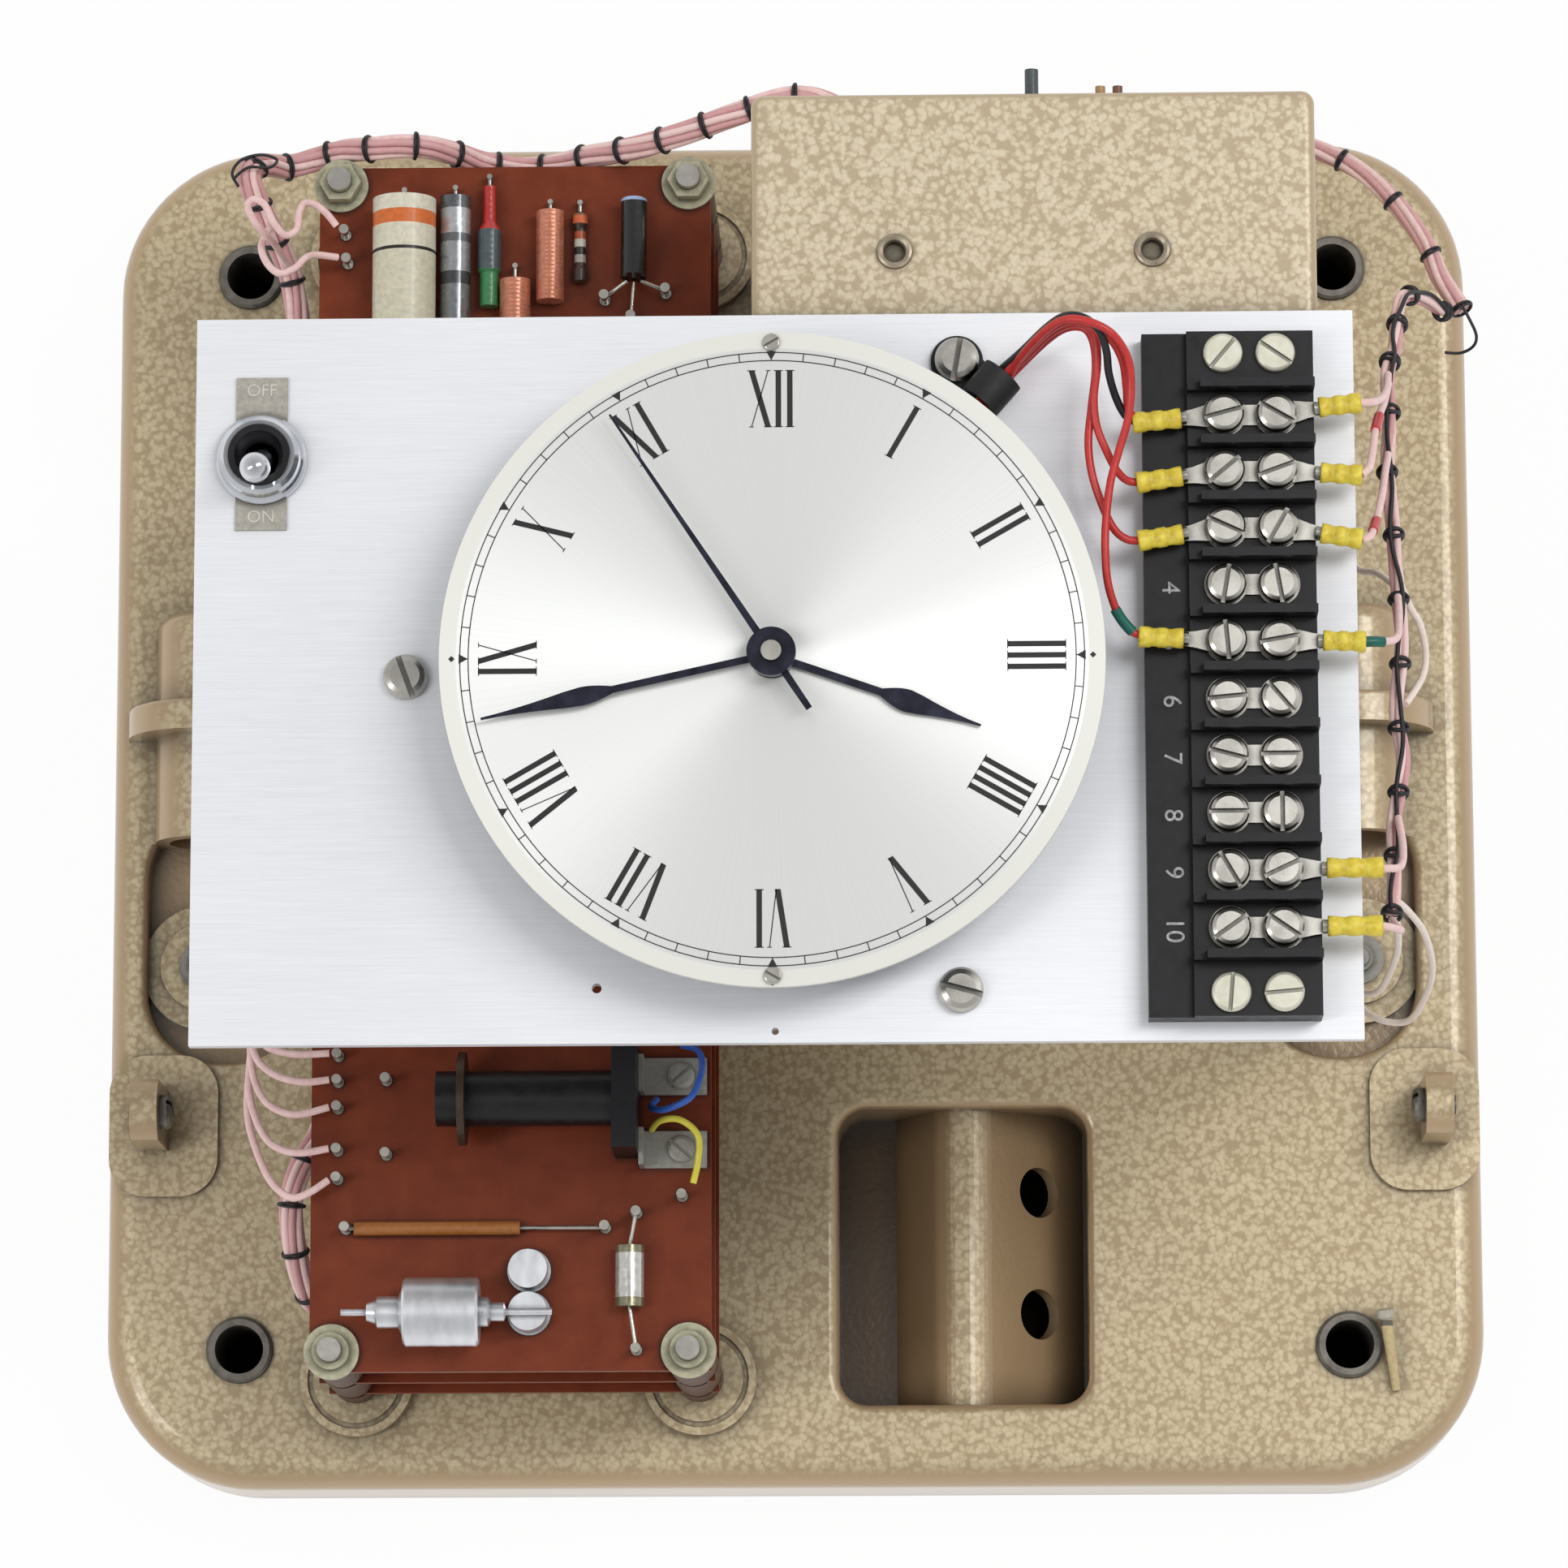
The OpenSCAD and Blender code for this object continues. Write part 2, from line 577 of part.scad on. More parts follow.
// Cheese-head or domed screw with its head's seat at z = 0 and its shank below
module slotted_screw(head_r, head_h, shank_r, shank_len, slot_w, turn) {
    difference() {
        union() {
            rotate_extrude($fn = 64) polygon([[0, 0], [head_r, 0], [head_r, head_h * 0.6],
                [head_r - head_h * 0.15, head_h * 0.85], [head_r - head_h * 0.45, head_h], [0, head_h]]);
            translate([0, 0, -shank_len]) cylinder(r = shank_r, h = shank_len + head_h / 2, $fn = 48);
        }
        rotate([0, 0, turn]) translate([-head_r - over, -slot_w / 2, head_h * 0.55])
            cube([2 * (head_r + over), slot_w, head_h]);
    }
}

module rod(a, b, r) {
    v = b - a;
    translate(a) rotate([0, acos(v[2] / norm(v)), atan2(v[1], v[0])])
        cylinder(r = r, h = norm(v), $fn = 24);
}

module tube(points, r) {
    polyhedron(points = tube_rings(points, r), faces = tube_faces(len(points)), convexity = 6);
}

module lying_y(x, y, z) {
    translate([x, y, z]) rotate([-90, 0, 0]) children();
}

// Base casting
module barrel_profile() {
    difference() {
        union() {
            slab_edge(barrel_r, barrel_len, barrel_edge_r);
            translate([0, collar_place]) slab_edge(collar_r, collar_w, 1);
        }
        translate([-over, -over]) square([end_recess_r + over, end_recess + over]);
    }
}

module well_shape(extra) {
    translate([well_x, well_y]) rounded_rect(well_w + 2 * extra, well_len + 2 * extra, well_r + extra);
}

// Places its children at the right side and again at the left side
module both_wells() {
    for (m = [0, 1]) translate([well_shift, 0, 0]) mirror([m, 0, 0]) children();
}

module rim_edge(rim) {
    difference() {
        translate([-0.5, 0]) square([rim + 0.5, rim + over]);
        translate([rim, 0]) circle(rim, $fn = 64);
    }
}

// Cutter that rounds over the rim of a recess with round corners, its foot at z = 0
module rim_cut(w, d, r, rim) {
    for (i = [0 : 3])
        translate([corners[i][0] * (w / 2 - r), corners[i][1] * (d / 2 - r), 0])
            rotate([0, 0, 90 * i])
                rotate_extrude(angle = 90, $fn = 96) translate([r, 0]) rim_edge(rim);
    for (s = [0, 1]) {
        rotate([0, 0, 180 * s]) translate([w / 2, d / 2 - r, 0])
            rotate([90, 0, 0]) linear_extrude(d - 2 * r) rim_edge(rim);
        rotate([0, 0, 180 * s + 90]) translate([d / 2, w / 2 - r, 0])
            rotate([90, 0, 0]) linear_extrude(w - 2 * r) rim_edge(rim);
    }
}

// Upper end of the well, filled again so that the barrel stands on the front face
module well_bed() {
    difference() {
        intersection() {
            translate([0, 0, well_floor - over]) linear_extrude(well_depth + over) well_shape(well_rim);
            translate([well_x - well_w, barrel_y, 0]) cube([2 * well_w, well_len, base_h]);
        }
        lying_y(boss_x, barrel_y - over, base_h)
            cylinder(r = end_recess_r, h = end_recess + over, $fn = 64);
    }
}

module well_furniture() {
    lying_y(boss_x, barrel_y, base_h) rotate_extrude($fn = 96) barrel_profile();
    translate([boss_x, boss_y, well_floor - over]) {
        cylinder(r = boss_r, h = over + 3, $fn = 64);
        cylinder(r = boss_r - boss_step, h = over + 4.5, $fn = 64);
    }
}

module lug() {
    translate([lug_x, lug_y - lug_w / 2, base_h - over]) rotate([90, 0, 90]) linear_extrude(lug_t)
        intersection() {
            square([lug_w, lug_h + over]);
            union() {
                square([lug_w, lug_h + over - 5]);
                translate([lug_w / 2, lug_h + over - lug_w / 2 - 1]) circle(lug_w / 2 + 1, $fn = 64);
            }
        }
    translate([lug_x + 1, lug_y - 1, base_h - over]) linear_extrude(over + 1.5)
        rounded_rect(23, 30, 8);
}

module pocket_prism(extra, z0, z1) {
    translate([pocket_x, pocket_y, z0]) linear_extrude(z1 - z0)
        rounded_rect(pocket_w + 2 * extra, pocket_len + 2 * extra, pocket_r + extra);
}

module ridge(r, foot_z) {
    translate([0, pocket_y + pocket_len / 2, 0]) rotate([90, 0, 0])
        linear_extrude(pocket_len) polygon(ridge_outline(r, foot_z));
}

module cable_hole(y) {
    start = [crest_x + ridge_r * sin(flank_angle) + flank_hole_reach * cos(flank_angle), y,
        crest_z + ridge_r * cos(flank_angle) - flank_hole_reach * sin(flank_angle)];
    translate(start) rotate([0, flank_angle, 0]) translate([0, 0, -ridge_wall - 3])
        cylinder(r = cable_hole_r, h = ridge_wall + 6, $fn = 64);
}

module base_casting() {
    color("#a89068") difference() {
        union() {
            difference() {
                union() {
                    difference() {
                        rolled_slab(base_w, base_d, base_h, base_corner_r, base_edge_r);
                        translate([0, 0, -over])
                            rolled_slab(base_w - 2 * base_wall, base_d - 2 * base_wall,
                                base_h - base_wall + over, base_corner_r - base_wall, base_edge_r / 2);
                    }
                    for (s = sleeves_at) translate([s[0], s[1], 0])
                        cylinder(r = sleeve_r + 4, h = base_h - base_wall / 2, $fn = 64);
                    for (s = board_studs_at) translate([s[0], s[1], base_h - base_wall - stud_depth])
                        cylinder(r = stud_r + 4, h = stud_depth + base_wall / 2, $fn = 64);
                    both_wells() translate([0, 0, well_floor - base_wall])
                        linear_extrude(well_depth + base_wall / 2) well_shape(base_wall);
                    for (m = [0, 1]) mirror([m, 0, 0]) lug();
                    pocket_prism(base_wall, pocket_floor - ridge_wall, base_h - base_wall / 2);
                    for (s = board_studs_at) translate([s[0], s[1], base_h - over])
                        cylinder(r = stud_boss_r, h = stud_boss_h + over, $fn = 96);
                }
                both_wells() {
                    translate([0, 0, well_floor]) linear_extrude(well_depth + over) well_shape(0);
                    translate([well_x, well_y, base_h - well_rim])
                        rim_cut(well_w, well_len, well_r, well_rim);
                }
                translate([pocket_x, pocket_y, base_h - pocket_rim])
                    rim_cut(pocket_w, pocket_len, pocket_r, pocket_rim);
                difference() {
                    pocket_prism(0, pocket_floor, base_h + over);
                    ridge(ridge_r, pocket_floor - over);
                }
                ridge(ridge_r - ridge_wall, -over);
                for (k = [-1, 1]) cable_hole(pocket_y + cable_hole_rise + k * cable_hole_pitch / 2);
            }
            both_wells() {
                well_bed();
                well_furniture();
            }
        }
        for (s = sleeves_at) translate([s[0], s[1], -over])
            cylinder(r = sleeve_r + fit, h = base_h + 2 * over, $fn = 64);
        for (s = board_studs_at) {
            translate([s[0], s[1], base_h - stud_depth])
                cylinder(r = stud_bore_r, h = stud_depth + stud_boss_h + over, $fn = 48);
            translate([s[0], s[1], boss_top - 0.8]) ring(stud_boss_r - 1.6, stud_boss_r - 2.8, 2);
        }
        both_wells() translate([boss_x, boss_y, well_floor - 2])
            cylinder(r = well_stud_r + fit, h = 12, $fn = 48);
        for (p = posts_at) translate(p) cylinder(r = post_foot_r + gap, h = base_h, $fn = 48);
        for (m = [0, 1]) mirror([m, 0, 0])
            translate([lug_x - over, lug_y, base_h + lug_h - 8]) rotate([0, 90, 0])
                cylinder(r = lug_screw_r + fit, h = lug_t + 2 * over, $fn = 48);
    }
}

module mounting_sleeves() {
    color("#8d8b86") for (s = sleeves_at) translate([s[0], s[1], 0]) difference() {
        union() {
            cylinder(r = sleeve_r, h = base_h + sleeve_proud - 0.6, $fn = 64);
            translate([0, 0, base_h + sleeve_proud - 0.6])
                rotate_extrude($fn = 64) polygon([[0, 0], [sleeve_r, 0], [sleeve_r - 0.6, 0.6], [0, 0.6]]);
        }
        translate([0, 0, -over]) cylinder(r = sleeve_bore_r, h = base_h + 2 * over + 2, $fn = 64);
    }
}

module lug_screws() {
    color("#8d9188") for (m = [0, 1]) mirror([m, 0, 0])
        translate([lug_x, lug_y, base_h + lug_h - 8]) rotate([0, -90, 0])
            slotted_screw(lug_screw_r + 1.6, 2.6, lug_screw_r, lug_t + 0.8, 0.9, 30);
}

module well_fixings() {
    top = well_floor + 4.5;
    color("#8b8c8c") both_wells() translate([boss_x, boss_y, top]) {
        ring(well_washer_r, well_stud_r + fit, 1);
        translate([0, 0, 1]) ring(2.9, well_stud_r + fit, 2);
        translate([0, 0, -6]) cylinder(r = well_stud_r, h = 9.8, $fn = 48);
    }
}

module leaning_pin() {
    color("#d8cf9e") translate([sleeve_pitch_x / 2 + 9.6, -sleeve_pitch_y / 2 - 9.6, base_h + 1.2])
        rotate([0, 77, 98.5]) {
            cylinder(r1 = 0.9, r2 = 1.3, h = leaning_pin_len, $fn = 48);
            translate([0, 0, leaning_pin_len]) cylinder(r = pin_head_r, h = 1.6, $fn = 48);
        }
}

// Circuit boards and what holds them
module at_studs() {
    for (s = board_studs_at) translate([s[0], s[1], 0]) children();
}

module board_studs() {
    bottom = base_h - stud_depth;
    color("#b9b6ae") at_studs() translate([0, 0, bottom])
        cylinder(r = stud_r, h = board_top + washer_t + 6 - bottom, $fn = 48);
}

module board_spacers() {
    color("#b7ae96") at_studs() {
        translate([0, 0, boss_top]) ring(spacer_r, stud_bore_r, foot_spacer);
        translate([0, 0, low_board_z + board_t]) ring(spacer_r, stud_bore_r, board_gap);
        translate([0, 0, mid_board_z + board_t]) ring(spacer_r, stud_bore_r, board_gap);
    }
}

module board(z) {
    translate([0, 0, z]) linear_extrude(board_t) difference() {
        translate([board_x, board_y]) square([board_w, board_len], center = true);
        for (s = board_studs_at) translate(s) circle(stud_bore_r, $fn = 48);
    }
}

module upper_board() { color("#7a331f") board(top_board_z); }

module lower_boards() {
    color("#6a2b1b") board(mid_board_z);
    color("#6a2b1b") board(low_board_z);
}

module board_washers() {
    color("#b5ae94") at_studs() translate([0, 0, board_top]) ring(washer_r, stud_bore_r, washer_t);
}

module board_nuts() {
    color("#a9a692") for (i = [0 : 3])
        translate([board_studs_at[i][0], board_studs_at[i][1], board_top + washer_t]) difference() {
            if (i < 2) cylinder(r = 4.3, h = 3.4, $fn = 6);
            else cylinder(r = 3.7, h = 2.6, $fn = 48);
            translate([0, 0, -over]) cylinder(r = stud_bore_r, h = 4 + 2 * over, $fn = 48);
        }
}

// Parts on the upper board, each just clear of it and carried on its leads
cream_x = -78;
cream_top = 114.7;
clear_x = -67.7;
diode_x = -60.7;
foil_small_x = -55.3;
foil_large_x = -48.1;
banded_x = -42;
capped_x = -30.8;
rod_resistor_y = -97.8;
canister_y = -115.3;
canister_x = -69;
glass_x = -31.4;
choke_y = -72.6;
choke_left = -70;
choke_plate_x = -34.4;
choke_z = board_top + choke_disc_r + gap;
cans_at = [[-51.8, -106.4], [-51.8, -115]];

module cream_capacitor() {
    color("#d9cfae") lying_y(cream_x, cream_top - cream_len, board_top + cream_r + gap)
        cylinder(r = cream_r, h = cream_len, $fn = 64);
}

module clear_capacitors() {
    color("#b9bdc0") {
        lying_y(clear_x, 74, board_top + 3.2 + gap) cylinder(r = 3.2, h = 42, $fn = 48);
        lying_y(glass_x, -114, board_top + 2.9 + gap) cylinder(r = 2.9, h = 12.3, $fn = 48);
    }
}

module banded_diode() {
    color("#5f7f6a") lying_y(diode_x, 93, board_top + 2.4 + gap) rotate_extrude($fn = 48)
        polygon([[0, 0], [1.9, 0], [1.9, 7], [2.4, 7.6], [2.4, 16], [1.3, 18], [1.2, 25.5], [0, 25.5]]);
}

module foil_capacitors() {
    color("#c0704a") {
        lying_y(foil_small_x, 80, board_top + 3.3 + gap) cylinder(r = 3.2, h = 18.3, $fn = 48);
        lying_y(foil_large_x, 93.9, board_top + 2.9 + gap) cylinder(r = 2.9, h = 19, $fn = 48);
    }
}

module small_resistors() {
    color("#a5672f") {
        lying_y(banded_x, 98, board_top + 1.6 + gap) rotate_extrude($fn = 48)
            polygon([[0, 0], [1.5, 0.4], [1.6, 2.6], [1.2, 3.6], [1.2, 11.4], [1.6, 12.4],
                [1.5, 14.6], [0, 15]]);
        translate([-87.1, rod_resistor_y, board_top + 1.4 + gap]) rotate([0, 90, 0])
            cylinder(r = 1.4, h = 33.5, $fn = 32);
    }
}

module capped_transistor() {
    color("#1d1e22") lying_y(capped_x, 98.3, board_top + 5.5) rotate([-8, 0, 0])
        cylinder(r = 2.7, h = 17, $fn = 48);
}

// Turned terminal pin, made in one revolve
module terminal_pin(p) {
    translate([p[0], p[1], board_top]) rotate_extrude($fn = 32)
        polygon([[0, 0], [1.1, 0], [1.1, 0.8], [pin_shank_r, 0.8], [pin_shank_r, 5.4], [1, 5.4],
            [1, 6.3], [0, 6.3]]);
}

pin_shank_r = 0.65;
pin_places = concat([for (y = bottom_pins_y) [pin_column_x, y]],
    [[pin_column_x, 108.9], [pin_column_x + 0.5, 102.8], [-80.8, -67.6], [-80.7, -82.8], [-20.9, -91.5],
        [-30.1, -94.9], [-30.1, -122.5], [-88.8, rod_resistor_y], [-36.4, rod_resistor_y],
        [-36.9, 94.6], [-31.4, 90.2], [-24.3, 95.9]]);

// Lead that leaves a lying part at its end and bends down into the board
module bent_lead(x, y, z, reach) {
    color("#c9c7c0") {
        rod([x, y + 0.05, z], [x, y + reach, z], lead_r);
        rod([x, y + reach, board_top], [x, y + reach, z + 2 * lead_r], lead_r + 0.1);
    }
}

module pins_and_leads() {
    low = board_top + 1.7;
    color("#c9c7c0") {
        for (p = pin_places) terminal_pin(p);
        rod([-88.8, rod_resistor_y, low], [-87.15, rod_resistor_y, low], lead_r);
        rod([-53.55, rod_resistor_y, low], [-36.4, rod_resistor_y, low], lead_r);
        rod([glass_x, -101.6, board_top + 3.2], [-30.1, -94.9, board_top + 3.6], lead_r);
        rod([glass_x, -114.1, board_top + 3.2], [-30.1, -122.5, board_top + 3.6], lead_r);
        rod([-36.9, 94.6, board_top + 3], [-32.1, 97.7, board_top + 4.8], lead_r);
        rod([-31.4, 90.2, board_top + 3], [-30.8, 97.7, board_top + 3.6], lead_r);
        rod([-24.3, 95.9, board_top + 3], [-29.4, 97.7, board_top + 4.8], lead_r);
    }
    bent_lead(cream_x, cream_top, board_top + cream_r + gap, 2);
    bent_lead(clear_x, 116, board_top + 3.5, 2);
    bent_lead(diode_x, 118.5, board_top + 2.7, 2);
    bent_lead(foil_small_x, 98.3, board_top + 3.5, 3);
    bent_lead(foil_large_x, 112.9, board_top + 3.2, 2);
    bent_lead(banded_x, 113, board_top + 1.9, 2);
}

module choke_winding() {
    color("#1b1b1d") translate([choke_left, choke_y, choke_z]) rotate([0, 90, 0])
        cylinder(r = choke_r, h = choke_plate_x - choke_left, $fn = 64);
}

module choke_fittings() {
    disc_x = -65.5;
    plate_top = 2 * choke_disc_r + gap;
    color("#5d5148") translate([disc_x, choke_y, choke_z]) rotate([0, 90, 0])
        ring(choke_disc_r, choke_r + fit, 1.5);
    color("#26262a") translate([choke_plate_x, choke_y - 11, board_top]) cube([4.9, 22, plate_top]);
    for (s = [[1, -67.1], [-1, -82]]) {
        color("#9a9890") translate([choke_plate_x + 4.9, s[1] - 3.75, board_top]) difference() {
            union() {
                cube([13.6, 7.5, 1]);
                cube([1, 7.5, 8]);
            }
            translate([8.3, 3.75, -over]) cylinder(r = 1.6, h = 1 + 2 * over, $fn = 32);
        }
        color("#9a9890") translate([choke_plate_x + 13.2, s[1], board_top + 1])
            slotted_screw(2.8, 1.9, 1.5, 0.9, 0.7, 40 * s[0]);
    }
}

module canister_capacitor() {
    color("#b4b6b8") translate([canister_x - canister_len / 2, canister_y, board_top + canister_r + gap])
        rotate([0, 90, 0]) rotate_extrude($fn = 64) polygon([[0, -12.6], [0.7, -12.6], [0.7, -7.4],
            [1.8, -7.4], [2.4, -5.6], [3.2, -5.2], [3.2, -1], [5.2, 0], [canister_r - 0.5, 0],
            [canister_r, 0.5], [canister_r, canister_len - 0.5], [canister_r - 0.5, canister_len],
            [3, canister_len], [3, canister_len + 1.8], [1.9, canister_len + 2.4],
            [1.9, canister_len + 5], [0.7, canister_len + 5.4], [0.7, canister_len + 14.6],
            [0, canister_len + 14.6]]);
}

module can_transistors() {
    color("#b9bbbd") for (c = cans_at) translate([c[0], c[1], board_top]) {
        cylinder(r = can_r + 0.5, h = 0.8, $fn = 64);
        cylinder(r = can_r, h = 5.8, $fn = 64);
    }
}

module link_wires() {
    color("#2a4f9c") tube(curve(blue_link_route, 2), 0.7);
    color("#d9cf2f") tube(curve(yellow_link_route, 2), 0.7);
}

// Supply box
eyelets_x = (box_left + box_right) / 2 - 2;
eyelet_y = panel_d / 2 + 13.3;
eyelet_tube_r = 2.5;

module box_form(inset, h) {
    translate([(box_left + box_right) / 2, (box_front + box_rear) / 2, 0])
        rolled_slab(box_w - 2 * inset, box_d - 2 * inset, h, 2.6 - inset, 2.2 - inset);
}

module supply_cover() {
    color("#c2ab80") difference() {
        translate([0, 0, base_h]) box_form(0, box_h);
        translate([0, 0, base_h - over]) box_form(sheet_t, box_h - sheet_t + over);
        for (s = [-1, 1]) translate([eyelets_x + s * eyelet_pitch / 2, eyelet_y, panel_z - sheet_t - over])
            cylinder(r = eyelet_tube_r + fit, h = sheet_t + 2 * over, $fn = 48);
    }
}

module supply_eyelets() {
    color("#a99c80") for (s = [-1, 1])
        translate([eyelets_x + s * eyelet_pitch / 2, eyelet_y, panel_z]) {
            rotate_extrude($fn = 64) polygon([[2, -6], [eyelet_tube_r, -6], [eyelet_tube_r, 0],
                [eyelet_r, 0], [eyelet_r - 0.2, 0.6], [eyelet_r - 0.7, 0.8], [2.3, 0.5], [2, 0]]);
            translate([0, 0, -6]) cylinder(r = 2 - fit, h = 4.4, $fn = 32);
        }
}

core_w = 58;
core_d = 30;
core_h = 48;
limb_w = 16;
window_w = 12;
window_h = 26;
core_x = (box_left + box_right) / 2;
core_y = (box_front + box_rear) / 2;

module transformer_core() {
    color("#3b3d40") translate([core_x, core_y, base_h]) difference() {
        translate([-core_w / 2, -core_d / 2, 0]) cube([core_w, core_d, core_h]);
        for (s = [-1, 1])
            translate([s * (limb_w + window_w) / 2 - window_w / 2, -core_d / 2 - over,
                    (core_h - window_h) / 2])
                cube([window_w, core_d + 2 * over, window_h]);
    }
}

module transformer_winding() {
    slack = 0.3;
    outer_w = limb_w + 2 * window_w - 2 * slack;
    outer_d = core_d + 10;
    color("#a8452c") translate([core_x, core_y, base_h + (core_h - window_h) / 2 + slack]) difference() {
        translate([-outer_w / 2, -outer_d / 2, 0]) cube([outer_w, outer_d, window_h - 2 * slack]);
        translate([-limb_w / 2 - slack, -core_d / 2 - slack, -over])
            cube([limb_w + 2 * slack, core_d + 2 * slack, window_h + 2 * over]);
    }
}

module supply_pegs() {
    color("#3c4145") lying_y(50.7, box_rear, panel_z - 7) cylinder(r = 1.35, h = 6.2, $fn = 32);
    for (x = [64.2, 67.6]) color("#d8b98c")
        lying_y(x, box_rear, panel_z - 6) cylinder(r = 1, h = 2.4, $fn = 32);
}

// Front panel and its posts
module front_panel() {
    color("#dfe0e2") difference() {
        union() {
            translate([-panel_w / 2, -panel_d / 2, panel_z]) cube([panel_w, panel_d, panel_t]);
            for (p = posts_at) translate([p[0], p[1], panel_z - panel_stud_len])
                cylinder(r = panel_stud_r, h = panel_stud_len + panel_t / 2, $fn = 32);
        }
        translate([0, 0, panel_z - over]) {
            cylinder(r = case_r + gap, h = panel_t + 2 * over, $fn = 128);
            for (a = movement_screw_angles) rotate([0, 0, a]) translate([movement_screw_circle, 0, 0])
                cylinder(r = movement_screw_r + fit, h = panel_t + 2 * over, $fn = 48);
            translate([switch_x, switch_y, 0])
                cylinder(r = bushing_r + fit, h = panel_t + 2 * over, $fn = 64);
            translate([-34.2, 10.7 - panel_d / 2, 0]) cylinder(r = 0.95, h = panel_t + 2 * over, $fn = 32);
            translate([0, 2.2 - panel_d / 2, 0]) cylinder(r = 0.7, h = panel_t + 2 * over, $fn = 32);
            for (x = [screw_x1, screw_x2]) for (s = [-1, 1])
                translate([x, block_y + s * block_screw_y, 0])
                    cylinder(r = block_screw_r + fit, h = panel_t + 2 * over, $fn = 32);
        }
    }
}

module panel_posts() {
    color("#9c9a94") for (p = posts_at) translate([p[0], p[1], p[2]]) difference() {
        union() {
            cylinder(r = post_foot_r, h = 3, $fn = 48);
            cylinder(r = post_r, h = panel_z - p[2], $fn = 48);
        }
        translate([0, 0, panel_z - p[2] - panel_stud_len - over])
            cylinder(r = panel_stud_r + fit, h = panel_stud_len + 2 * over, $fn = 32);
    }
}

module movement_screws() {
    color("#b9b6ae") for (i = [0 : 2]) rotate([0, 0, movement_screw_angles[i]])
        translate([movement_screw_circle, 0, panel_top + (i == 0 ? clip_strap_t : 0)])
            slotted_screw(movement_screw_head_r, 3.2, movement_screw_r,
                panel_t + 5 + (i == 0 ? clip_strap_t : 0), 1.1, [20, -70, 45][i]);
}

// Toggle switch
plate_t = 0.6;
nut_h = 5;
pivot_z = panel_top - 1.5;
ball_r = 3.3;
bushing_top = panel_top + plate_t + nut_h + 0.6;

module toggle_body() {
    color("#34353a") translate([switch_x, switch_y, 0]) difference() {
        union() {
            translate([-7, -13.5, panel_z - 19]) cube([14, 27, 19]);
            translate([0, 0, panel_z - over])
                cylinder(r = bushing_r, h = bushing_top - panel_z + over, $fn = 64);
        }
        translate([0, 0, pivot_z - ball_r - 1]) cylinder(r = ball_r + run_fit, h = 40, $fn = 64);
        translate([0, 0, pivot_z + 2.6]) rotate_extrude($fn = 64)
            polygon([[0, 0], [ball_r, 0], [bushing_r - 1, 6], [bushing_r - 1, 20], [0, 20]]);
    }
}

module dress_nut() {
    color("#cfd0d2") translate([switch_x, switch_y, panel_top + plate_t]) difference() {
        rotate_extrude($fn = 96) polygon([[0, 0], [dress_nut_r, 0], [dress_nut_r, 1.4],
            [dress_nut_r - 0.5, 2.2], [dress_nut_r - 0.9, 2.6], [dress_nut_r - 1.2, nut_h - 0.8],
            [dress_nut_r - 2, nut_h], [0, nut_h]]);
        translate([0, 0, -over]) cylinder(r = bushing_r + fit, h = nut_h + 2 * over, $fn = 64);
    }
}

module switch_plate() {
    color("#a9aaa6") translate([switch_x, switch_y + 1.3, panel_top]) linear_extrude(plate_t) difference() {
        union() {
            translate([0, -1.3]) circle(bushing_r + 2, $fn = 64);
            square([plate_w, plate_len], center = true);
        }
        translate([0, -1.3]) circle(bushing_r + fit, $fn = 64);
    }
}

module toggle_lever() {
    neck_r = 1.5;
    end_r = 3;
    color("#c9cacc") translate([switch_x, switch_y, pivot_z]) rotate([toggle_tilt, 0, 0]) {
        sphere(r = ball_r, $fn = 48);
        rotate_extrude($fn = 48) difference() {
            polygon([[0, 0], [neck_r, 0], [neck_r, 5], [neck_r + 0.2, 8], [end_r - 0.4, toggle_len - end_r],
                [end_r, toggle_len - end_r + 0.2], [end_r, toggle_len], [0, toggle_len]]);
            translate([0, toggle_len - end_r]) difference() {
                square(end_r + over);
                circle(end_r, $fn = 48);
            }
        }
    }
}

// Terminal block
block_screw_r = 1.8;
terminal_shank_r = 1.8;

module terminal_block() {
    color("#17161a") difference() {
        union() {
            translate([block_left, block_y - block_len / 2, panel_top]) cube([block_w, block_len, block_h]);
            for (i = [0 : row_count])
                translate([block_left + strip_w, row_y(i) + (row_pitch - barrier_t) / 2,
                panel_top]) {
                cube([block_w - strip_w, barrier_t, barrier_h]);
                translate([-2.4, 0, 0]) cube([2.4, barrier_t, barrier_h - 3]);
            }
        }
        translate([block_left - over, block_y - block_len / 2 - over, panel_top + block_h - 2])
            cube([strip_w + over - 2.4, block_len + 2 * over, 3]);
        for (x = [screw_x1, screw_x2]) {
            for (i = [0 : row_count - 1]) translate([x, row_y(i), link_z - 6])
                cylinder(r = terminal_shank_r + fit, h = 7, $fn = 32);
            for (s = [-1, 1]) translate([x, block_y + s * block_screw_y, panel_top - over])
                cylinder(r = block_screw_r + fit, h = block_h + 2 * over, $fn = 32);
        }
    }
}

module terminal_links() {
    color("#c4c2bb") for (i = [0 : row_count - 1]) translate([0, row_y(i), link_z])
        linear_extrude(link_t) difference() {
            union() {
                for (x = [screw_x1, screw_x2]) translate([x, 0]) circle(terminal_head_r + 0.3, $fn = 48);
                translate([screw_x1, -2]) square([row_screw_pitch, 4]);
            }
            for (x = [screw_x1, screw_x2]) translate([x, 0]) circle(terminal_shank_r + fit, $fn = 32);
        }
}

function has(list, i) = len([for (v = list) if (v == i) v]) > 0;
left_slot_turns = [15, 40, -25, 80, 95, 5, -15, 0, -60, 35];
right_slot_turns = [-30, 20, 60, 100, 10, -50, 0, 90, 25, -35];

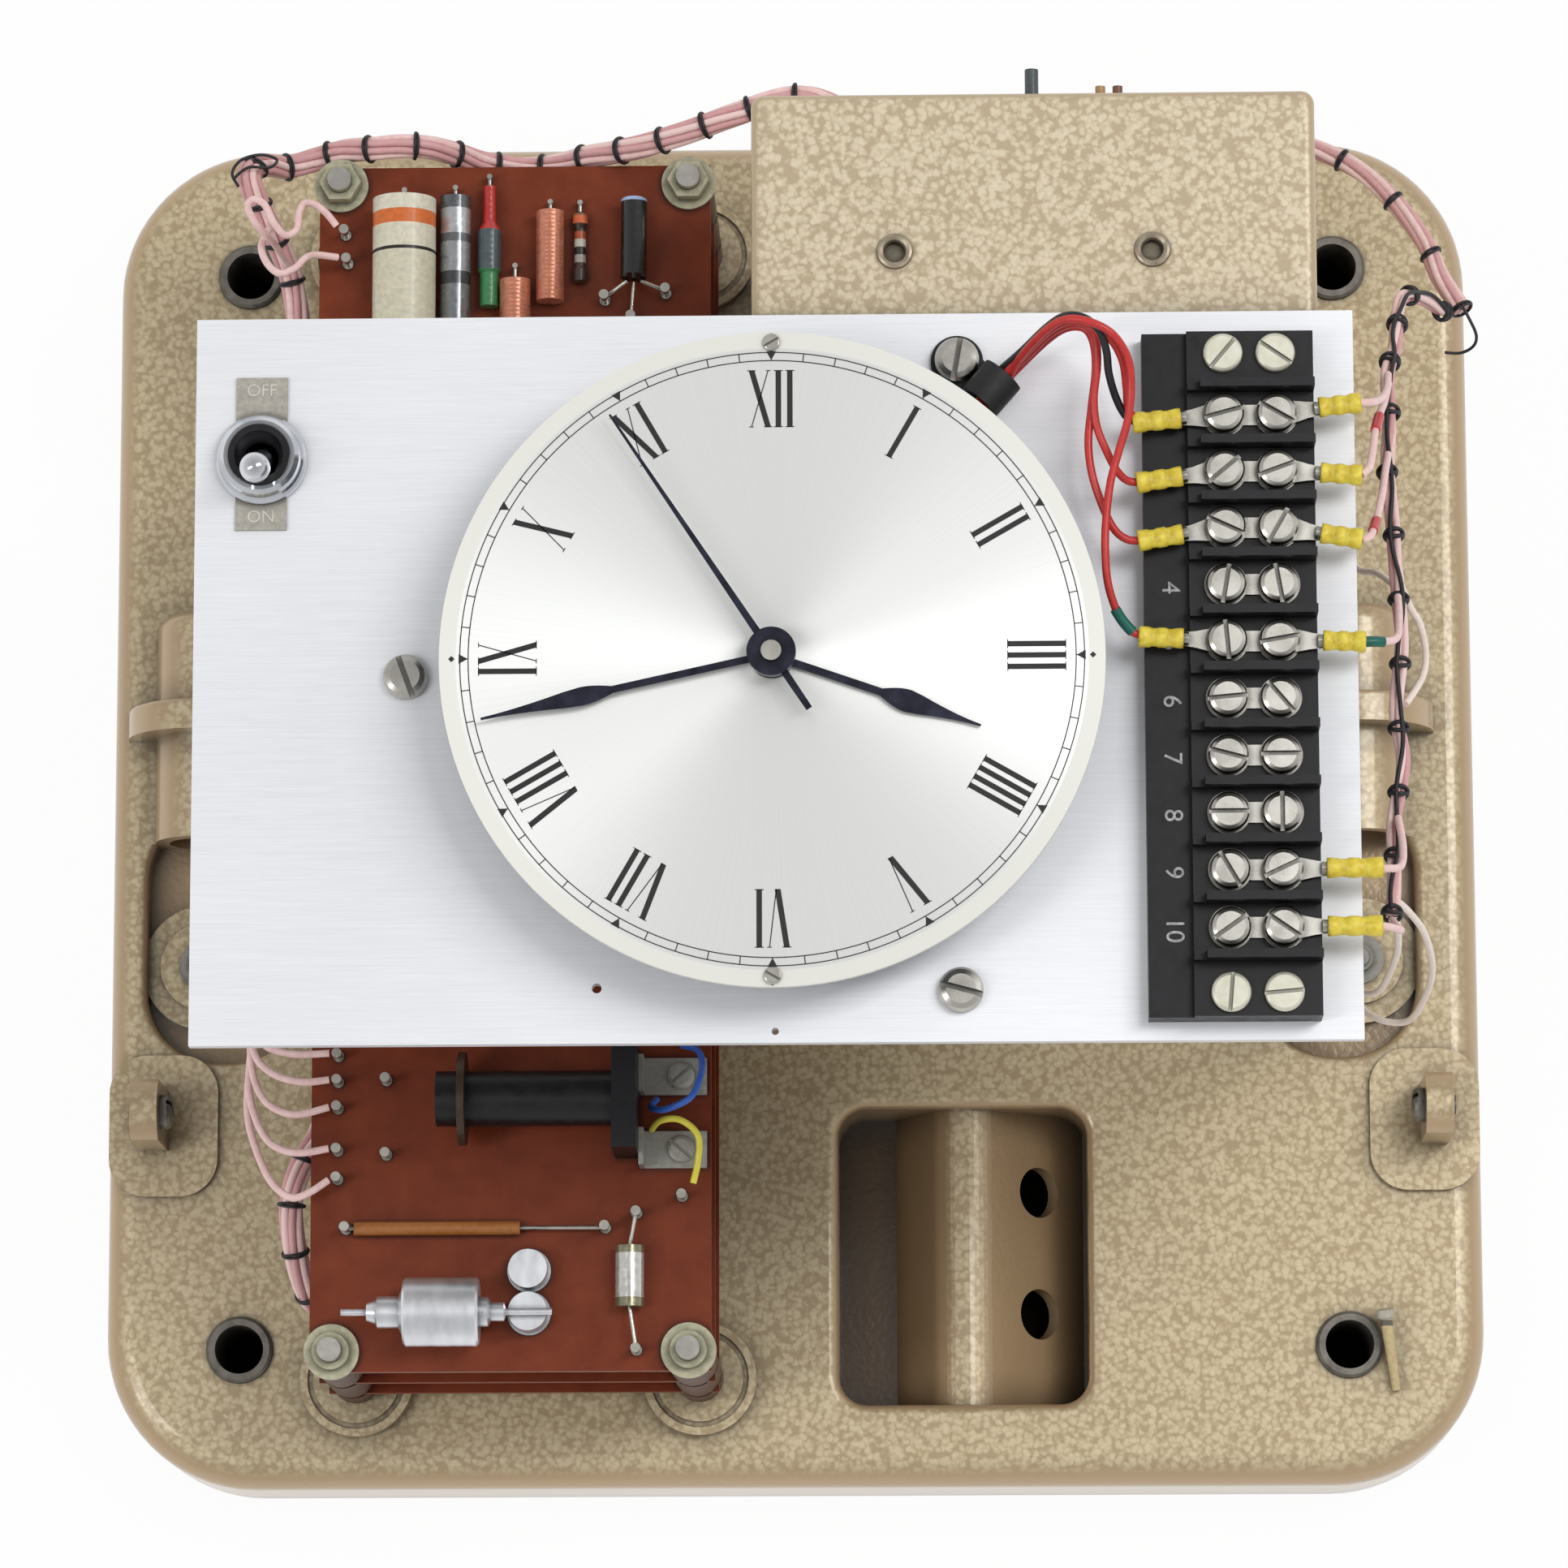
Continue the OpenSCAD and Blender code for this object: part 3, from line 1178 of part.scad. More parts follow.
module terminal_screws() {
    color("#c3c1ba") for (i = [0 : row_count - 1]) {
        translate([screw_x1, row_y(i), link_z + link_t + (has(left_lug_rows, i) ? lug_plate_t : 0)])
            slotted_screw(terminal_head_r, 2.3, terminal_shank_r, 5, 0.9, left_slot_turns[i]);
        translate([screw_x2, row_y(i), link_z + link_t + (has(right_lug_rows, i) ? lug_plate_t : 0)])
            slotted_screw(terminal_head_r, 2.3, terminal_shank_r, 5, 0.9, right_slot_turns[i]);
    }
}

module block_screws() {
    turns = [50, -35, 85, 5];
    color("#cbc6ab") for (k = [0 : 3])
        translate([k % 2 == 0 ? screw_x1 : screw_x2, block_y + (k < 2 ? 1 : -1) * block_screw_y, link_z])
            slotted_screw(3.8, 1.4, block_screw_r, block_h + panel_t + 2, 0.8, turns[k]);
}

module at_lugs() {
    for (k = [0 : len(left_lug_rows) - 1])
        translate([screw_x1, row_y(left_lug_rows[k]), link_z + link_t])
            rotate([0, 0, 180 + left_lug_turns[k]]) children();
    for (k = [0 : len(right_lug_rows) - 1])
        translate([screw_x2, row_y(right_lug_rows[k]), link_z + link_t])
            rotate([0, 0, right_lug_turns[k]]) children();
}

module ring_lugs() {
    color("#c9c8c2") at_lugs() {
        linear_extrude(lug_plate_t) difference() {
            union() {
                circle(3.7, $fn = 48);
                polygon([[0, -2.9], [6, -1.6], [lug_reach + 1, -1.3],
                    [lug_reach + 1, 1.3], [6, 1.6], [0, 2.9]]);
            }
            circle(terminal_shank_r + fit, $fn = 32);
        }
        translate([lug_reach, 0, 1.3]) rotate([0, 90, 0]) cylinder(r = 1.2, h = 6, $fn = 32);
    }
}

module lug_sleeves() {
    color("#e3cf3f") at_lugs() translate([lug_reach + 1.2, 0, 1.3]) rotate([0, 90, 0]) difference() {
        cylinder(r = lug_sleeve_r, h = lug_sleeve_len, $fn = 40);
        translate([0, 0, -over]) cylinder(r = 1.2 + fit, h = lug_sleeve_len + 2 * over, $fn = 40);
    }
}

// Cable clip and the dial leads
module cable_clip() {
    loop_z = panel_top + clip_bore_r + clip_wall;
    screw = [movement_screw_circle * cos(60), movement_screw_circle * sin(60)];
    color("#141416") {
        translate([0, 0, panel_top]) linear_extrude(clip_strap_t) difference() {
            union() {
                translate(screw) circle(movement_screw_head_r + 0.8, $fn = 48);
                translate(screw) rotate([0, 0, -42]) translate([0, -3.6]) square([8, 7.2]);
            }
            translate(screw) circle(movement_screw_r + fit, $fn = 48);
        }
        translate([clip_x, clip_y, loop_z]) rotate([0, 0, clip_turn]) rotate([0, 90, 0])
            translate([0, 0, -3.6]) ring(clip_bore_r + clip_wall, clip_bore_r, 7.2);
    }
}

module dial_leads() {
    color("#c8342a") for (r = red_lead_routes) tube(r, wire_r);
    color("#1a1a1c") tube(black_lead_route, wire_r);
}

// Dial and hands
module dial() {
    color("#e2e2dd") translate([0, 0, dial_back]) difference() {
        cylinder(r = dial_r, h = dial_t, $fn = 180);
        translate([0, 0, -over]) cylinder(r = hour_pipe_r + 0.4, h = dial_t + 2 * over, $fn = 64);
        for (s = [-1, 1]) translate([0, s * dial_screw_circle, -over])
            cylinder(r = 0.9 + fit, h = dial_t + 2 * over, $fn = 32);
    }
}

module dial_screws() {
    color("#b7b6b0") for (s = [-1, 1]) translate([0, s * dial_screw_circle, dial_front])
        slotted_screw(1.7, 0.8, 0.9, dial_t + 2, 0.45, 30 * s);
}

module dial_ring() {
    color("#9fa1a4") translate([0, 0, dial_back - 3]) difference() {
        ring(dial_r - 0.7, case_r + fit, 3);
        for (s = [-1, 1]) translate([0, s * dial_screw_circle, 0.8])
            cylinder(r = 0.9 + fit, h = 4, $fn = 32);
    }
}

function leaf_hand(len, stem, leaf0, leaf1, half) = concat(
    [for (i = [0 : 8]) let(t = i / 8) [leaf0 + (leaf1 - leaf0) * t, stem + (half - stem) * sin(90 * t)]],
    [for (i = [1 : 6]) let(t = i / 6) [leaf1 + (len - leaf1) * t, half * pow(1 - t, 1.6) + 0.22]]);

module hand_blade(outline, stem) {
    linear_extrude(hand_t) polygon(concat([[0, stem]], outline,
        [for (i = [len(outline) - 1 : -1 : 0]) [outline[i][0], -outline[i][1]]], [[0, -stem]]));
}

module hand(z, angle, bore_r, outline, stem) {
    translate([0, 0, z]) rotate([0, 0, 90 - angle]) difference() {
        union() {
            cylinder(r = hub_r - 0.3, h = hand_t, $fn = 64);
            hand_blade(outline, stem);
        }
        translate([0, 0, -over]) cylinder(r = bore_r, h = hand_t + 2 * over, $fn = 48);
    }
}

module hour_hand() {
    color("#23242e") hand(hour_hand_z, hour_angle, hour_pipe_r + 0.02,
        leaf_hand(hour_len, 0.75, 22, 27.5, 2.2), 0.75);
}

module minute_hand() {
    color("#23242e") hand(minute_hand_z, minute_angle, minute_pipe_r + 0.02,
        leaf_hand(minute_len, 0.7, 31, 37, 1.8), 0.7);
}

module seconds_hand() {
    color("#23242e") translate([0, 0, seconds_hand_z]) rotate([0, 0, 90 - seconds_angle]) difference() {
        union() {
            cylinder(r = hub_r, h = seconds_hub_h, $fn = 64);
            linear_extrude(hand_t) polygon([[-seconds_tail, -0.62], [0, -0.75], [seconds_len, -0.22],
                [seconds_len, 0.22], [0, 0.75], [-seconds_tail, 0.62]]);
        }
        translate([0, 0, -over])
            cylinder(r = seconds_arbor_r + 0.02, h = seconds_hub_h + 2 * over, $fn = 32);
    }
}

// Movement
module movement_case() {
    ear_z = panel_z - 6;
    color("#8f9296") difference() {
        union() {
            translate([0, 0, case_z]) cylinder(r = case_r, h = dial_back - case_z, $fn = 180);
            for (a = movement_screw_angles) rotate([0, 0, a]) translate([0, 0, ear_z]) {
                translate([case_r - 3, -5.5, 0]) cube([movement_screw_circle - case_r + 3, 11, 6]);
                translate([movement_screw_circle, 0, 0]) cylinder(r = 5.5, h = 6, $fn = 48);
            }
        }
        translate([0, 0, case_z + case_wall])
            cylinder(r = case_r - case_wall, h = dial_back - case_z, $fn = 180);
        for (a = movement_screw_angles) rotate([0, 0, a]) translate([movement_screw_circle, 0, ear_z - over])
            cylinder(r = movement_screw_r + fit, h = 6 + 2 * over, $fn = 48);
        rotate([0, 0, 52]) translate([case_r - 4, 0, panel_top + 5]) rotate([0, 90, 0])
            cylinder(r = 3.4, h = 8, $fn = 48);
    }
}

module movement_frame() {
    third = third_arbor_dist * [cos(third_dir), sin(third_dir)];
    minute = motion_dist * [cos(motion_dir), sin(motion_dir)];
    color("#c3a04a") {
        translate([0, 0, back_plate_z]) linear_extrude(frame_plate_t) difference() {
            circle(frame_plate_r, $fn = 180);
            circle(seconds_arbor_r + run_fit, $fn = 32);
            translate(third) circle(third_arbor_r + run_fit, $fn = 32);
        }
        translate([0, 0, front_plate_z]) linear_extrude(frame_plate_t) difference() {
            circle(frame_plate_r, $fn = 180);
            circle(minute_pipe_r + run_fit, $fn = 48);
            translate(third) circle(third_arbor_r + run_fit, $fn = 32);
        }
        for (a = [30, 150, 270]) rotate([0, 0, a])
            translate([pillar_circle, 0, back_plate_z + frame_plate_t])
                cylinder(r = pillar_r, h = front_plate_z - back_plate_z - frame_plate_t, $fn = 48);
        translate([minute[0], minute[1], front_plate_top - over])
            cylinder(r = minute_post_r, h = hour_wheel_z + wheel_t + 0.9 - front_plate_top + over, $fn = 32);
    }
}

module drive_motor() {
    color("#7d7f83") translate([0, 0, motor_z]) difference() {
        union() {
            cylinder(r = motor_r, h = motor_len, $fn = 96);
            cylinder(r = motor_r + 1.5, h = 1.5, $fn = 96);
        }
        translate([0, 0, motor_len - 6]) cylinder(r = seconds_arbor_r + run_fit, h = 6 + over, $fn = 32);
    }
}

module wheel_blank(n, m, head, root, hub, spokes) {
    rim = n * m / 2 - 1.6 * m - 1.2;
    difference() {
        polygon(gear_outline(n, m, head, root));
        if (spokes > 0) difference() {
            circle(rim, $fn = 96);
            circle(hub, $fn = 48);
            for (k = [0 : spokes - 1])
                rotate([0, 0, 360 / spokes * k]) translate([0, -0.6]) square([rim + 1, 1.2]);
        }
    }
}

module seconds_arbor() {
    bottom = back_plate_z - 5;
    hub_top = seconds_hand_z + seconds_hub_h;
    color("#b8b8b8") {
        translate([0, 0, bottom]) cylinder(r = seconds_arbor_r, h = hub_top - bottom + 0.2, $fn = 32);
        translate([0, 0, hub_top]) cylinder(r = cap_r, h = 1, $fn = 48);
        translate([0, 0, seconds_pinion_z]) rotate([0, 0, third_dir + 180 / pinion_teeth])
            linear_extrude(seconds_pinion_len)
                polygon(gear_outline(pinion_teeth, fast_module, pinion_head, pinion_root));
    }
}

module third_wheel() {
    third = third_arbor_dist * [cos(third_dir), sin(third_dir)];
    color("#c9a650") translate([third[0], third[1], 0]) {
        translate([0, 0, back_plate_z + 0.2])
            cylinder(r = third_arbor_r, h = front_plate_top - back_plate_z - 0.4, $fn = 32);
        translate([0, 0, third_wheel_z]) rotate([0, 0, third_dir + 180]) linear_extrude(wheel_t)
            wheel_blank(third_teeth, fast_module, wheel_head, wheel_root, 3, 5);
        translate([0, 0, third_pinion_z]) rotate([0, 0, third_dir + 180 + 180 / pinion_teeth])
            linear_extrude(third_pinion_len)
                polygon(gear_outline(pinion_teeth, train_module, pinion_head, pinion_root));
    }
}

module centre_wheel() {
    pipe_bore = seconds_arbor_r + run_fit;
    color("#c9a650") difference() {
        union() {
            translate([0, 0, minute_pipe_z])
                cylinder(r = minute_pipe_r, h = minute_hand_z + hand_t - minute_pipe_z, $fn = 48);
            translate([0, 0, centre_wheel_z]) rotate([0, 0, third_dir]) linear_extrude(wheel_t)
                wheel_blank(centre_teeth, train_module, wheel_head, wheel_root, 4, 5);
            translate([0, 0, cannon_z]) rotate([0, 0, motion_dir + 180 / cannon_teeth])
                linear_extrude(cannon_len)
                    polygon(gear_outline(cannon_teeth, motion_module, pinion_head, pinion_root));
        }
        translate([0, 0, minute_pipe_z - over])
            cylinder(r = pipe_bore, h = minute_hand_z + hand_t - minute_pipe_z + 2 * over, $fn = 32);
    }
}

module minute_wheel() {
    minute = motion_dist * [cos(motion_dir), sin(motion_dir)];
    color("#c9a650") translate([minute[0], minute[1], 0]) difference() {
        union() {
            translate([0, 0, minute_wheel_z]) rotate([0, 0, motion_dir + 180]) linear_extrude(wheel_t)
                wheel_blank(minute_wheel_teeth, motion_module, wheel_head, wheel_root, 3, 0);
            translate([0, 0, minute_wheel_z + wheel_t])
                rotate([0, 0, motion_dir + 180 + 180 / minute_pinion_teeth])
                    linear_extrude(minute_pinion_len)
                        polygon(gear_outline(minute_pinion_teeth, hour_module, pinion_head, pinion_root));
        }
        translate([0, 0, minute_wheel_z - over]) cylinder(r = minute_post_r + run_fit, h = 20, $fn = 32);
    }
}

module hour_wheel() {
    color("#c9a650") difference() {
        union() {
            translate([0, 0, hour_wheel_z])
                cylinder(r = hour_pipe_r, h = hour_hand_z + hand_t - hour_wheel_z, $fn = 48);
            translate([0, 0, hour_wheel_z]) rotate([0, 0, motion_dir]) linear_extrude(wheel_t)
                wheel_blank(hour_wheel_teeth, hour_module, wheel_head, wheel_root, 4.5, 4);
        }
        translate([0, 0, hour_wheel_z - over])
            cylinder(r = minute_pipe_r + run_fit, h = hour_hand_z + hand_t - hour_wheel_z + 2 * over,
                $fn = 48);
    }
}

// Wiring
module wiring_harness() {
    color("#dba6a4") tube(curve(trunk_route, trunk_steps), trunk_r);
    color("#dba6a4") tube(curve(run_route, trunk_steps), run_r);
}

module branch_wires() {
    color("#e0b0ac") for (r = concat(bottom_loops, top_loops, right_branches)) tube(curve(r, 2), wire_r);
}

module tie(p, i, r) {
    t = along(p, i);
    translate(p[i]) rotate([0, acos(t[2]), atan2(t[1], t[0])])
        rotate_extrude($fn = 48) translate([r + 0.45, 0]) circle(0.35, $fn = 24);
}

module harness_ties() {
    trunk = curve(trunk_route, trunk_steps);
    run = curve(run_route, trunk_steps);
    color("#1c1a1e") {
        for (i = [1 : tie_pitch : len(trunk) - 2]) tie(trunk, i, trunk_r);
        for (i = [1 : tie_pitch : len(run) - 2]) tie(run, i, run_r);
    }
}

base_casting();
mounting_sleeves();
lug_screws();
well_fixings();
leaning_pin();
board_studs();
board_spacers();
upper_board();
lower_boards();
board_washers();
board_nuts();
cream_capacitor();
clear_capacitors();
banded_diode();
foil_capacitors();
small_resistors();
capped_transistor();
pins_and_leads();
choke_winding();
choke_fittings();
canister_capacitor();
can_transistors();
link_wires();
supply_cover();
supply_eyelets();
transformer_core();
transformer_winding();
supply_pegs();
front_panel();
panel_posts();
movement_screws();
toggle_body();
dress_nut();
switch_plate();
toggle_lever();
terminal_block();
terminal_links();
terminal_screws();
block_screws();
ring_lugs();
lug_sleeves();
cable_clip();
dial_leads();
dial();
dial_screws();
dial_ring();
hour_hand();
minute_hand();
seconds_hand();
movement_case();
movement_frame();
drive_motor();
seconds_arbor();
centre_wheel();
third_wheel();
minute_wheel();
hour_wheel();
wiring_harness();
branch_wires();
harness_ties();
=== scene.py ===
import math

import bmesh
import bpy
from mathutils import Matrix, Vector


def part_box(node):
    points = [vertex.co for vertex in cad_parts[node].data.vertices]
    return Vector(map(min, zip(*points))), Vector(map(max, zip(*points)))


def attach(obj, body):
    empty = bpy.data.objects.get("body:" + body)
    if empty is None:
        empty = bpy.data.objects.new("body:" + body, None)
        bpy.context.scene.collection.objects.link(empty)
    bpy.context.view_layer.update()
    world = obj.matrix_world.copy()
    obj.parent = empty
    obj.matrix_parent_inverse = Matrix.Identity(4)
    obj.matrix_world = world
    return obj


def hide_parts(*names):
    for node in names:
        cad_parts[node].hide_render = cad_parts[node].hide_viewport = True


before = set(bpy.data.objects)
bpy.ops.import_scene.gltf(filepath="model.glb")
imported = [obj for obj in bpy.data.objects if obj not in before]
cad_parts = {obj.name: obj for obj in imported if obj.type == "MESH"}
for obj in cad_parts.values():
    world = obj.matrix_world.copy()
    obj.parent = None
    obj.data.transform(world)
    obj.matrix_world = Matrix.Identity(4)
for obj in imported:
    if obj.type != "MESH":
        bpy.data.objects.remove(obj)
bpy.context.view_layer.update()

scene = bpy.context.scene
scene.view_settings.view_transform = "Standard"
MM = 0.001


# Camera, lights and floor

# The photographer's place in millimetres, the camera's three small turns in radians, and its lens
CAMERA_AT = (34.8, -260.4, 1506.9)
CAMERA_LEAN, CAMERA_SWAY, CAMERA_ROLL = -0.177, -0.0243, 0.0068
CAMERA_LENS, FILM_WIDTH = 162.1, 36.0
# Where both soft boxes point
LIT_POINT = (0, 0, 0.1)
# Half the side of the square of painted shade on the floor below the casting, in metres, and how far its
# corners are cut
FOOTPRINT_HALF, FOOTPRINT_CORNER = 0.14, 0.55
# Floor paper, and the dark tone painted on the floor below the unit as its shade
FLOOR_TONE, SHADE_PAINTED_BELOW = "#F4F4F2", "#201C18"


def aim(thing, place, target):
    """Put a lamp somewhere and turn it to face a point."""
    thing.location = place
    thing.rotation_euler = (Vector(target) - Vector(place)).to_track_quat("-Z", "Y").to_euler()


def set_camera():
    """Camera almost square above the dial, a little towards the lower edge of the unit."""
    turn = (Matrix.Rotation(CAMERA_ROLL, 3, "Z") @ Matrix.Rotation(CAMERA_SWAY, 3, "Y")
            @ Matrix.Rotation(CAMERA_LEAN, 3, "X")).transposed()
    data = bpy.data.cameras.new("studio_camera")
    data.lens = CAMERA_LENS
    data.sensor_width = FILM_WIDTH
    camera = bpy.data.objects.new("studio_camera", data)
    scene.collection.objects.link(camera)
    camera.matrix_world = Matrix.Translation(Vector(CAMERA_AT) * MM) @ turn.to_4x4()
    scene.camera = camera


def soft_box(name, place, size, watts):
    """Large soft lamp that points at the unit."""
    data = bpy.data.lights.new(name, "AREA")
    data.shape = "RECTANGLE"
    data.size, data.size_y = size
    data.energy = watts
    lamp = bpy.data.objects.new(name, data)
    scene.collection.objects.link(lamp)
    aim(lamp, place, LIT_POINT)


def tint(code):
    """Linear colour of an sRGB hex value."""
    parts = [int(code[i:i + 2], 16) / 255 for i in (1, 3, 5)]
    return [c / 12.92 if c <= 0.04045 else ((c + 0.055) / 1.055) ** 2.4 for c in parts] + [1.0]


def add(tree, kind, settings=(), links=()):
    """Add a node with its properties, socket values, ramp stops and incoming links."""
    made = tree.nodes.new(kind)
    for key, value in dict(settings).items():
        if key == "stops":
            ramp = made.color_ramp
            for index, (place, colour) in enumerate(value):
                stop = ramp.elements[index] if index < 2 else ramp.elements.new(place)
                stop.position = place
                stop.color = tint(colour)
        elif key == "steps":
            made.color_ramp.interpolation = value
        elif isinstance(key, int) or key in made.inputs:
            made.inputs[key].default_value = value
        else:
            setattr(made, key, value)
    for key, source in dict(links).items():
        tree.links.new(source, made.inputs[key])
    return made


def sees_backdrop(tree):
    """1 on rays from the camera and on mirror and glass rays, 0 on the rays that light the unit."""
    path = add(tree, "ShaderNodeLightPath")
    first = add(tree, "ShaderNodeMath", {"operation": "MAXIMUM"},
                {0: path.outputs["Is Camera Ray"], 1: path.outputs["Is Glossy Ray"]})
    return add(tree, "ShaderNodeMath", {"operation": "MAXIMUM"},
               {0: first.outputs[0], 1: path.outputs["Is Transmission Ray"]}).outputs[0]


def set_world(sides, ceiling):
    """White studio: white behind the unit, bright walls and a dimmer ceiling above it."""
    world = bpy.data.worlds.new("white_studio")
    scene.world = world
    world.use_nodes = True
    tree = world.node_tree
    tree.nodes.clear()
    looking = add(tree, "ShaderNodeTexCoord").outputs["Generated"]
    way = add(tree, "ShaderNodeSeparateXYZ", {}, {0: looking})
    room = add(tree, "ShaderNodeMapRange", {"To Min": sides, "To Max": ceiling}, {"Value": way.outputs[2]})
    path = add(tree, "ShaderNodeLightPath")
    plain = add(tree, "ShaderNodeMath", {"operation": "MAXIMUM"},
                {0: path.outputs["Is Camera Ray"], 1: path.outputs["Is Transmission Ray"]})
    strength = add(tree, "ShaderNodeMapRange", {"To Max": 1.0},
                   {"Value": plain.outputs[0], "To Min": room.outputs[0]})
    light = add(tree, "ShaderNodeBackground", {"Color": (1.0, 1.0, 1.0, 1.0)},
                {"Strength": strength.outputs[0]})
    add(tree, "ShaderNodeOutputWorld", {}, {"Surface": light.outputs[0]})


def painted_shade_footprint(tree):
    """1 on the floor inside the casting's footprint, which is painted dark as shade and gets no white glow,
    0 beside it.
    """
    where = add(tree, "ShaderNodeTexCoord").outputs["Object"]
    parts = add(tree, "ShaderNodeSeparateXYZ", {}, {0: where})
    across = add(tree, "ShaderNodeMath", {"operation": "ABSOLUTE"}, {0: parts.outputs[0]})
    along = add(tree, "ShaderNodeMath", {"operation": "ABSOLUTE"}, {0: parts.outputs[1]})
    far = add(tree, "ShaderNodeMath", {"operation": "MAXIMUM"}, {0: across.outputs[0], 1: along.outputs[0]})
    both = add(tree, "ShaderNodeMath", {"operation": "ADD"}, {0: across.outputs[0], 1: along.outputs[0]})
    corner = add(tree, "ShaderNodeMath", {"operation": "MULTIPLY", 1: FOOTPRINT_CORNER},
                 {0: both.outputs[0]})
    farthest = add(tree, "ShaderNodeMath", {"operation": "MAXIMUM"},
                   {0: far.outputs[0], 1: corner.outputs[0]})
    inside = add(tree, "ShaderNodeMath", {"operation": "LESS_THAN", 1: FOOTPRINT_HALF},
                 {0: farthest.outputs[0]})
    return inside.outputs[0]


def set_floor(width, keep_shadow):
    """Pale floor that reads white beside the unit and keeps a light shadow; below the unit it is painted
    dark as shade.
    """
    half = width / 2
    mesh = bpy.data.meshes.new("studio_floor")
    mesh.from_pydata([(-half, -half, 0), (half, -half, 0), (half, half, 0), (-half, half, 0)],
                     [], [(0, 1, 2, 3)])
    floor = bpy.data.objects.new("studio_floor", mesh)
    scene.collection.objects.link(floor)
    material = bpy.data.materials.new("white_floor_paper")
    material.use_nodes = True
    tree = material.node_tree
    tree.nodes.clear()
    under_casting_shade = painted_shade_footprint(tree)
    # Inside the footprint the floor paper is painted dark as shade
    tone = add(tree, "ShaderNodeMix", {"data_type": "RGBA", 6: tint(FLOOR_TONE), 7: tint(SHADE_PAINTED_BELOW)},
               {0: under_casting_shade})
    paper = add(tree, "ShaderNodeBsdfDiffuse", {}, {"Color": tone.outputs[2]})
    glow = add(tree, "ShaderNodeEmission", {"Color": (1.0, 1.0, 1.0, 1.0), "Strength": 1.0})
    open_floor = add(tree, "ShaderNodeMath", {"operation": "SUBTRACT", 0: 1.0}, {1: under_casting_shade})
    lit = add(tree, "ShaderNodeMath", {"operation": "MULTIPLY"},
              {0: open_floor.outputs[0], 1: sees_backdrop(tree)})
    seen = add(tree, "ShaderNodeMath", {"operation": "MULTIPLY", 1: 1 - keep_shadow},
               {0: lit.outputs[0]})
    mixed = add(tree, "ShaderNodeMixShader", {},
                {0: seen.outputs[0], 1: paper.outputs[0], 2: glow.outputs[0]})
    add(tree, "ShaderNodeOutputMaterial", {}, {"Surface": mixed.outputs[0]})
    mesh.materials.append(material)


set_camera()
set_world(sides=0.8, ceiling=0.46)
set_floor(width=6.0, keep_shadow=0.05)
soft_box("right_soft_box", (0.75, 0.28, 1.5), size=(0.4, 0.9), watts=9.6)
soft_box("left_soft_box", (-0.85, -0.3, 1.4), size=(0.25, 0.9), watts=5.2)


# Finishes

# Heights between which the casting's paint turns from plain brown to pale hammered cells, the pale tone
# being painted reflection, and from the painted shade of deep floors to the flank
PAINT_LOW, PAINT_HIGH = 21.5 * MM, 23.5 * MM
FLOOR_LOW, FLOOR_HIGH = 8.0 * MM, 14.0 * MM
# Dark tone painted on the floors of deep recesses as their shade
FLOOR_SHADE_PAINT = "#57442F"
# How far the painted shade of slots and recesses reaches, in millimetres
SLOT_REACH, RECESS_REACH = 1.5, 8.0
# Grain drawn out along x into hair lines
HAIR_LINE = (0.012, 1.0, 1.0)


def surface(name, sockets):
    """New material: itself, its tree, its shader and its object coordinates."""
    material = bpy.data.materials.new(name)
    material.use_nodes = True
    tree = material.node_tree
    tree.nodes.clear()
    shader = add(tree, "ShaderNodeBsdfPrincipled", sockets)
    add(tree, "ShaderNodeOutputMaterial", {}, {"Surface": shader.outputs[0]})
    return material, tree, shader, add(tree, "ShaderNodeTexCoord").outputs["Object"]


def raise_from(tree, shader, height, depth_mm, strength=0.6):
    """Bump on a shader from a height between 0 and 1 and its depth in millimetres."""
    bump = add(tree, "ShaderNodeBump", {"Strength": strength, "Distance": depth_mm * MM},
               {"Height": height})
    tree.links.new(bump.outputs[0], shader.inputs["Normal"])


def painted_recess_shade(tree, colour, reach_mm, depth):
    """Colour darkened in recesses and slots of about one size, by how little open sky they see: painted
    shade.
    """
    open_sky = add(tree, "ShaderNodeAmbientOcclusion", {"samples": 4, "Distance": reach_mm * MM})
    shade = add(tree, "ShaderNodeMath", {"operation": "POWER", 1: depth}, {0: open_sky.outputs["AO"]})
    return add(tree, "ShaderNodeMix", {"data_type": "RGBA", "blend_type": "MULTIPLY", 0: 1.0},
               {6: colour, 7: shade.outputs[0]}).outputs[2]


def drift(name, colours, rough, grain_mm, sockets=(), stretch=(1, 1, 1), relief_mm=0.0, spread=0.2,
          slot_mm=SLOT_REACH):
    """Finish whose colour and gloss drift between two tones over grains of a real size, with painted shade
    in its slots.
    """
    material, tree, shader, where = surface(name, sockets)
    held = add(tree, "ShaderNodeMapping", {"Scale": stretch}, {"Vector": where})
    grain = add(tree, "ShaderNodeTexNoise",
                {"Scale": 1 / (grain_mm * MM), "Detail": 5.0, "Roughness": 0.6},
                {"Vector": held.outputs[0]}).outputs[0]
    stops = [(0.5 - spread, colours[0]), (0.5 + spread, colours[1])]
    tone = add(tree, "ShaderNodeValToRGB", {"stops": stops}, {"Fac": grain})
    gloss = add(tree, "ShaderNodeMapRange", {"From Min": 0.3, "From Max": 0.7, "To Min": rough[0],
                                             "To Max": rough[1]}, {"Value": grain})
    # Painted shade darkens the colour in slots and recesses
    tree.links.new(painted_recess_shade(tree, tone.outputs[0], slot_mm, 1.3), shader.inputs["Base Color"])
    tree.links.new(gloss.outputs[0], shader.inputs["Roughness"])
    if relief_mm:
        raise_from(tree, shader, grain, relief_mm)
    return material


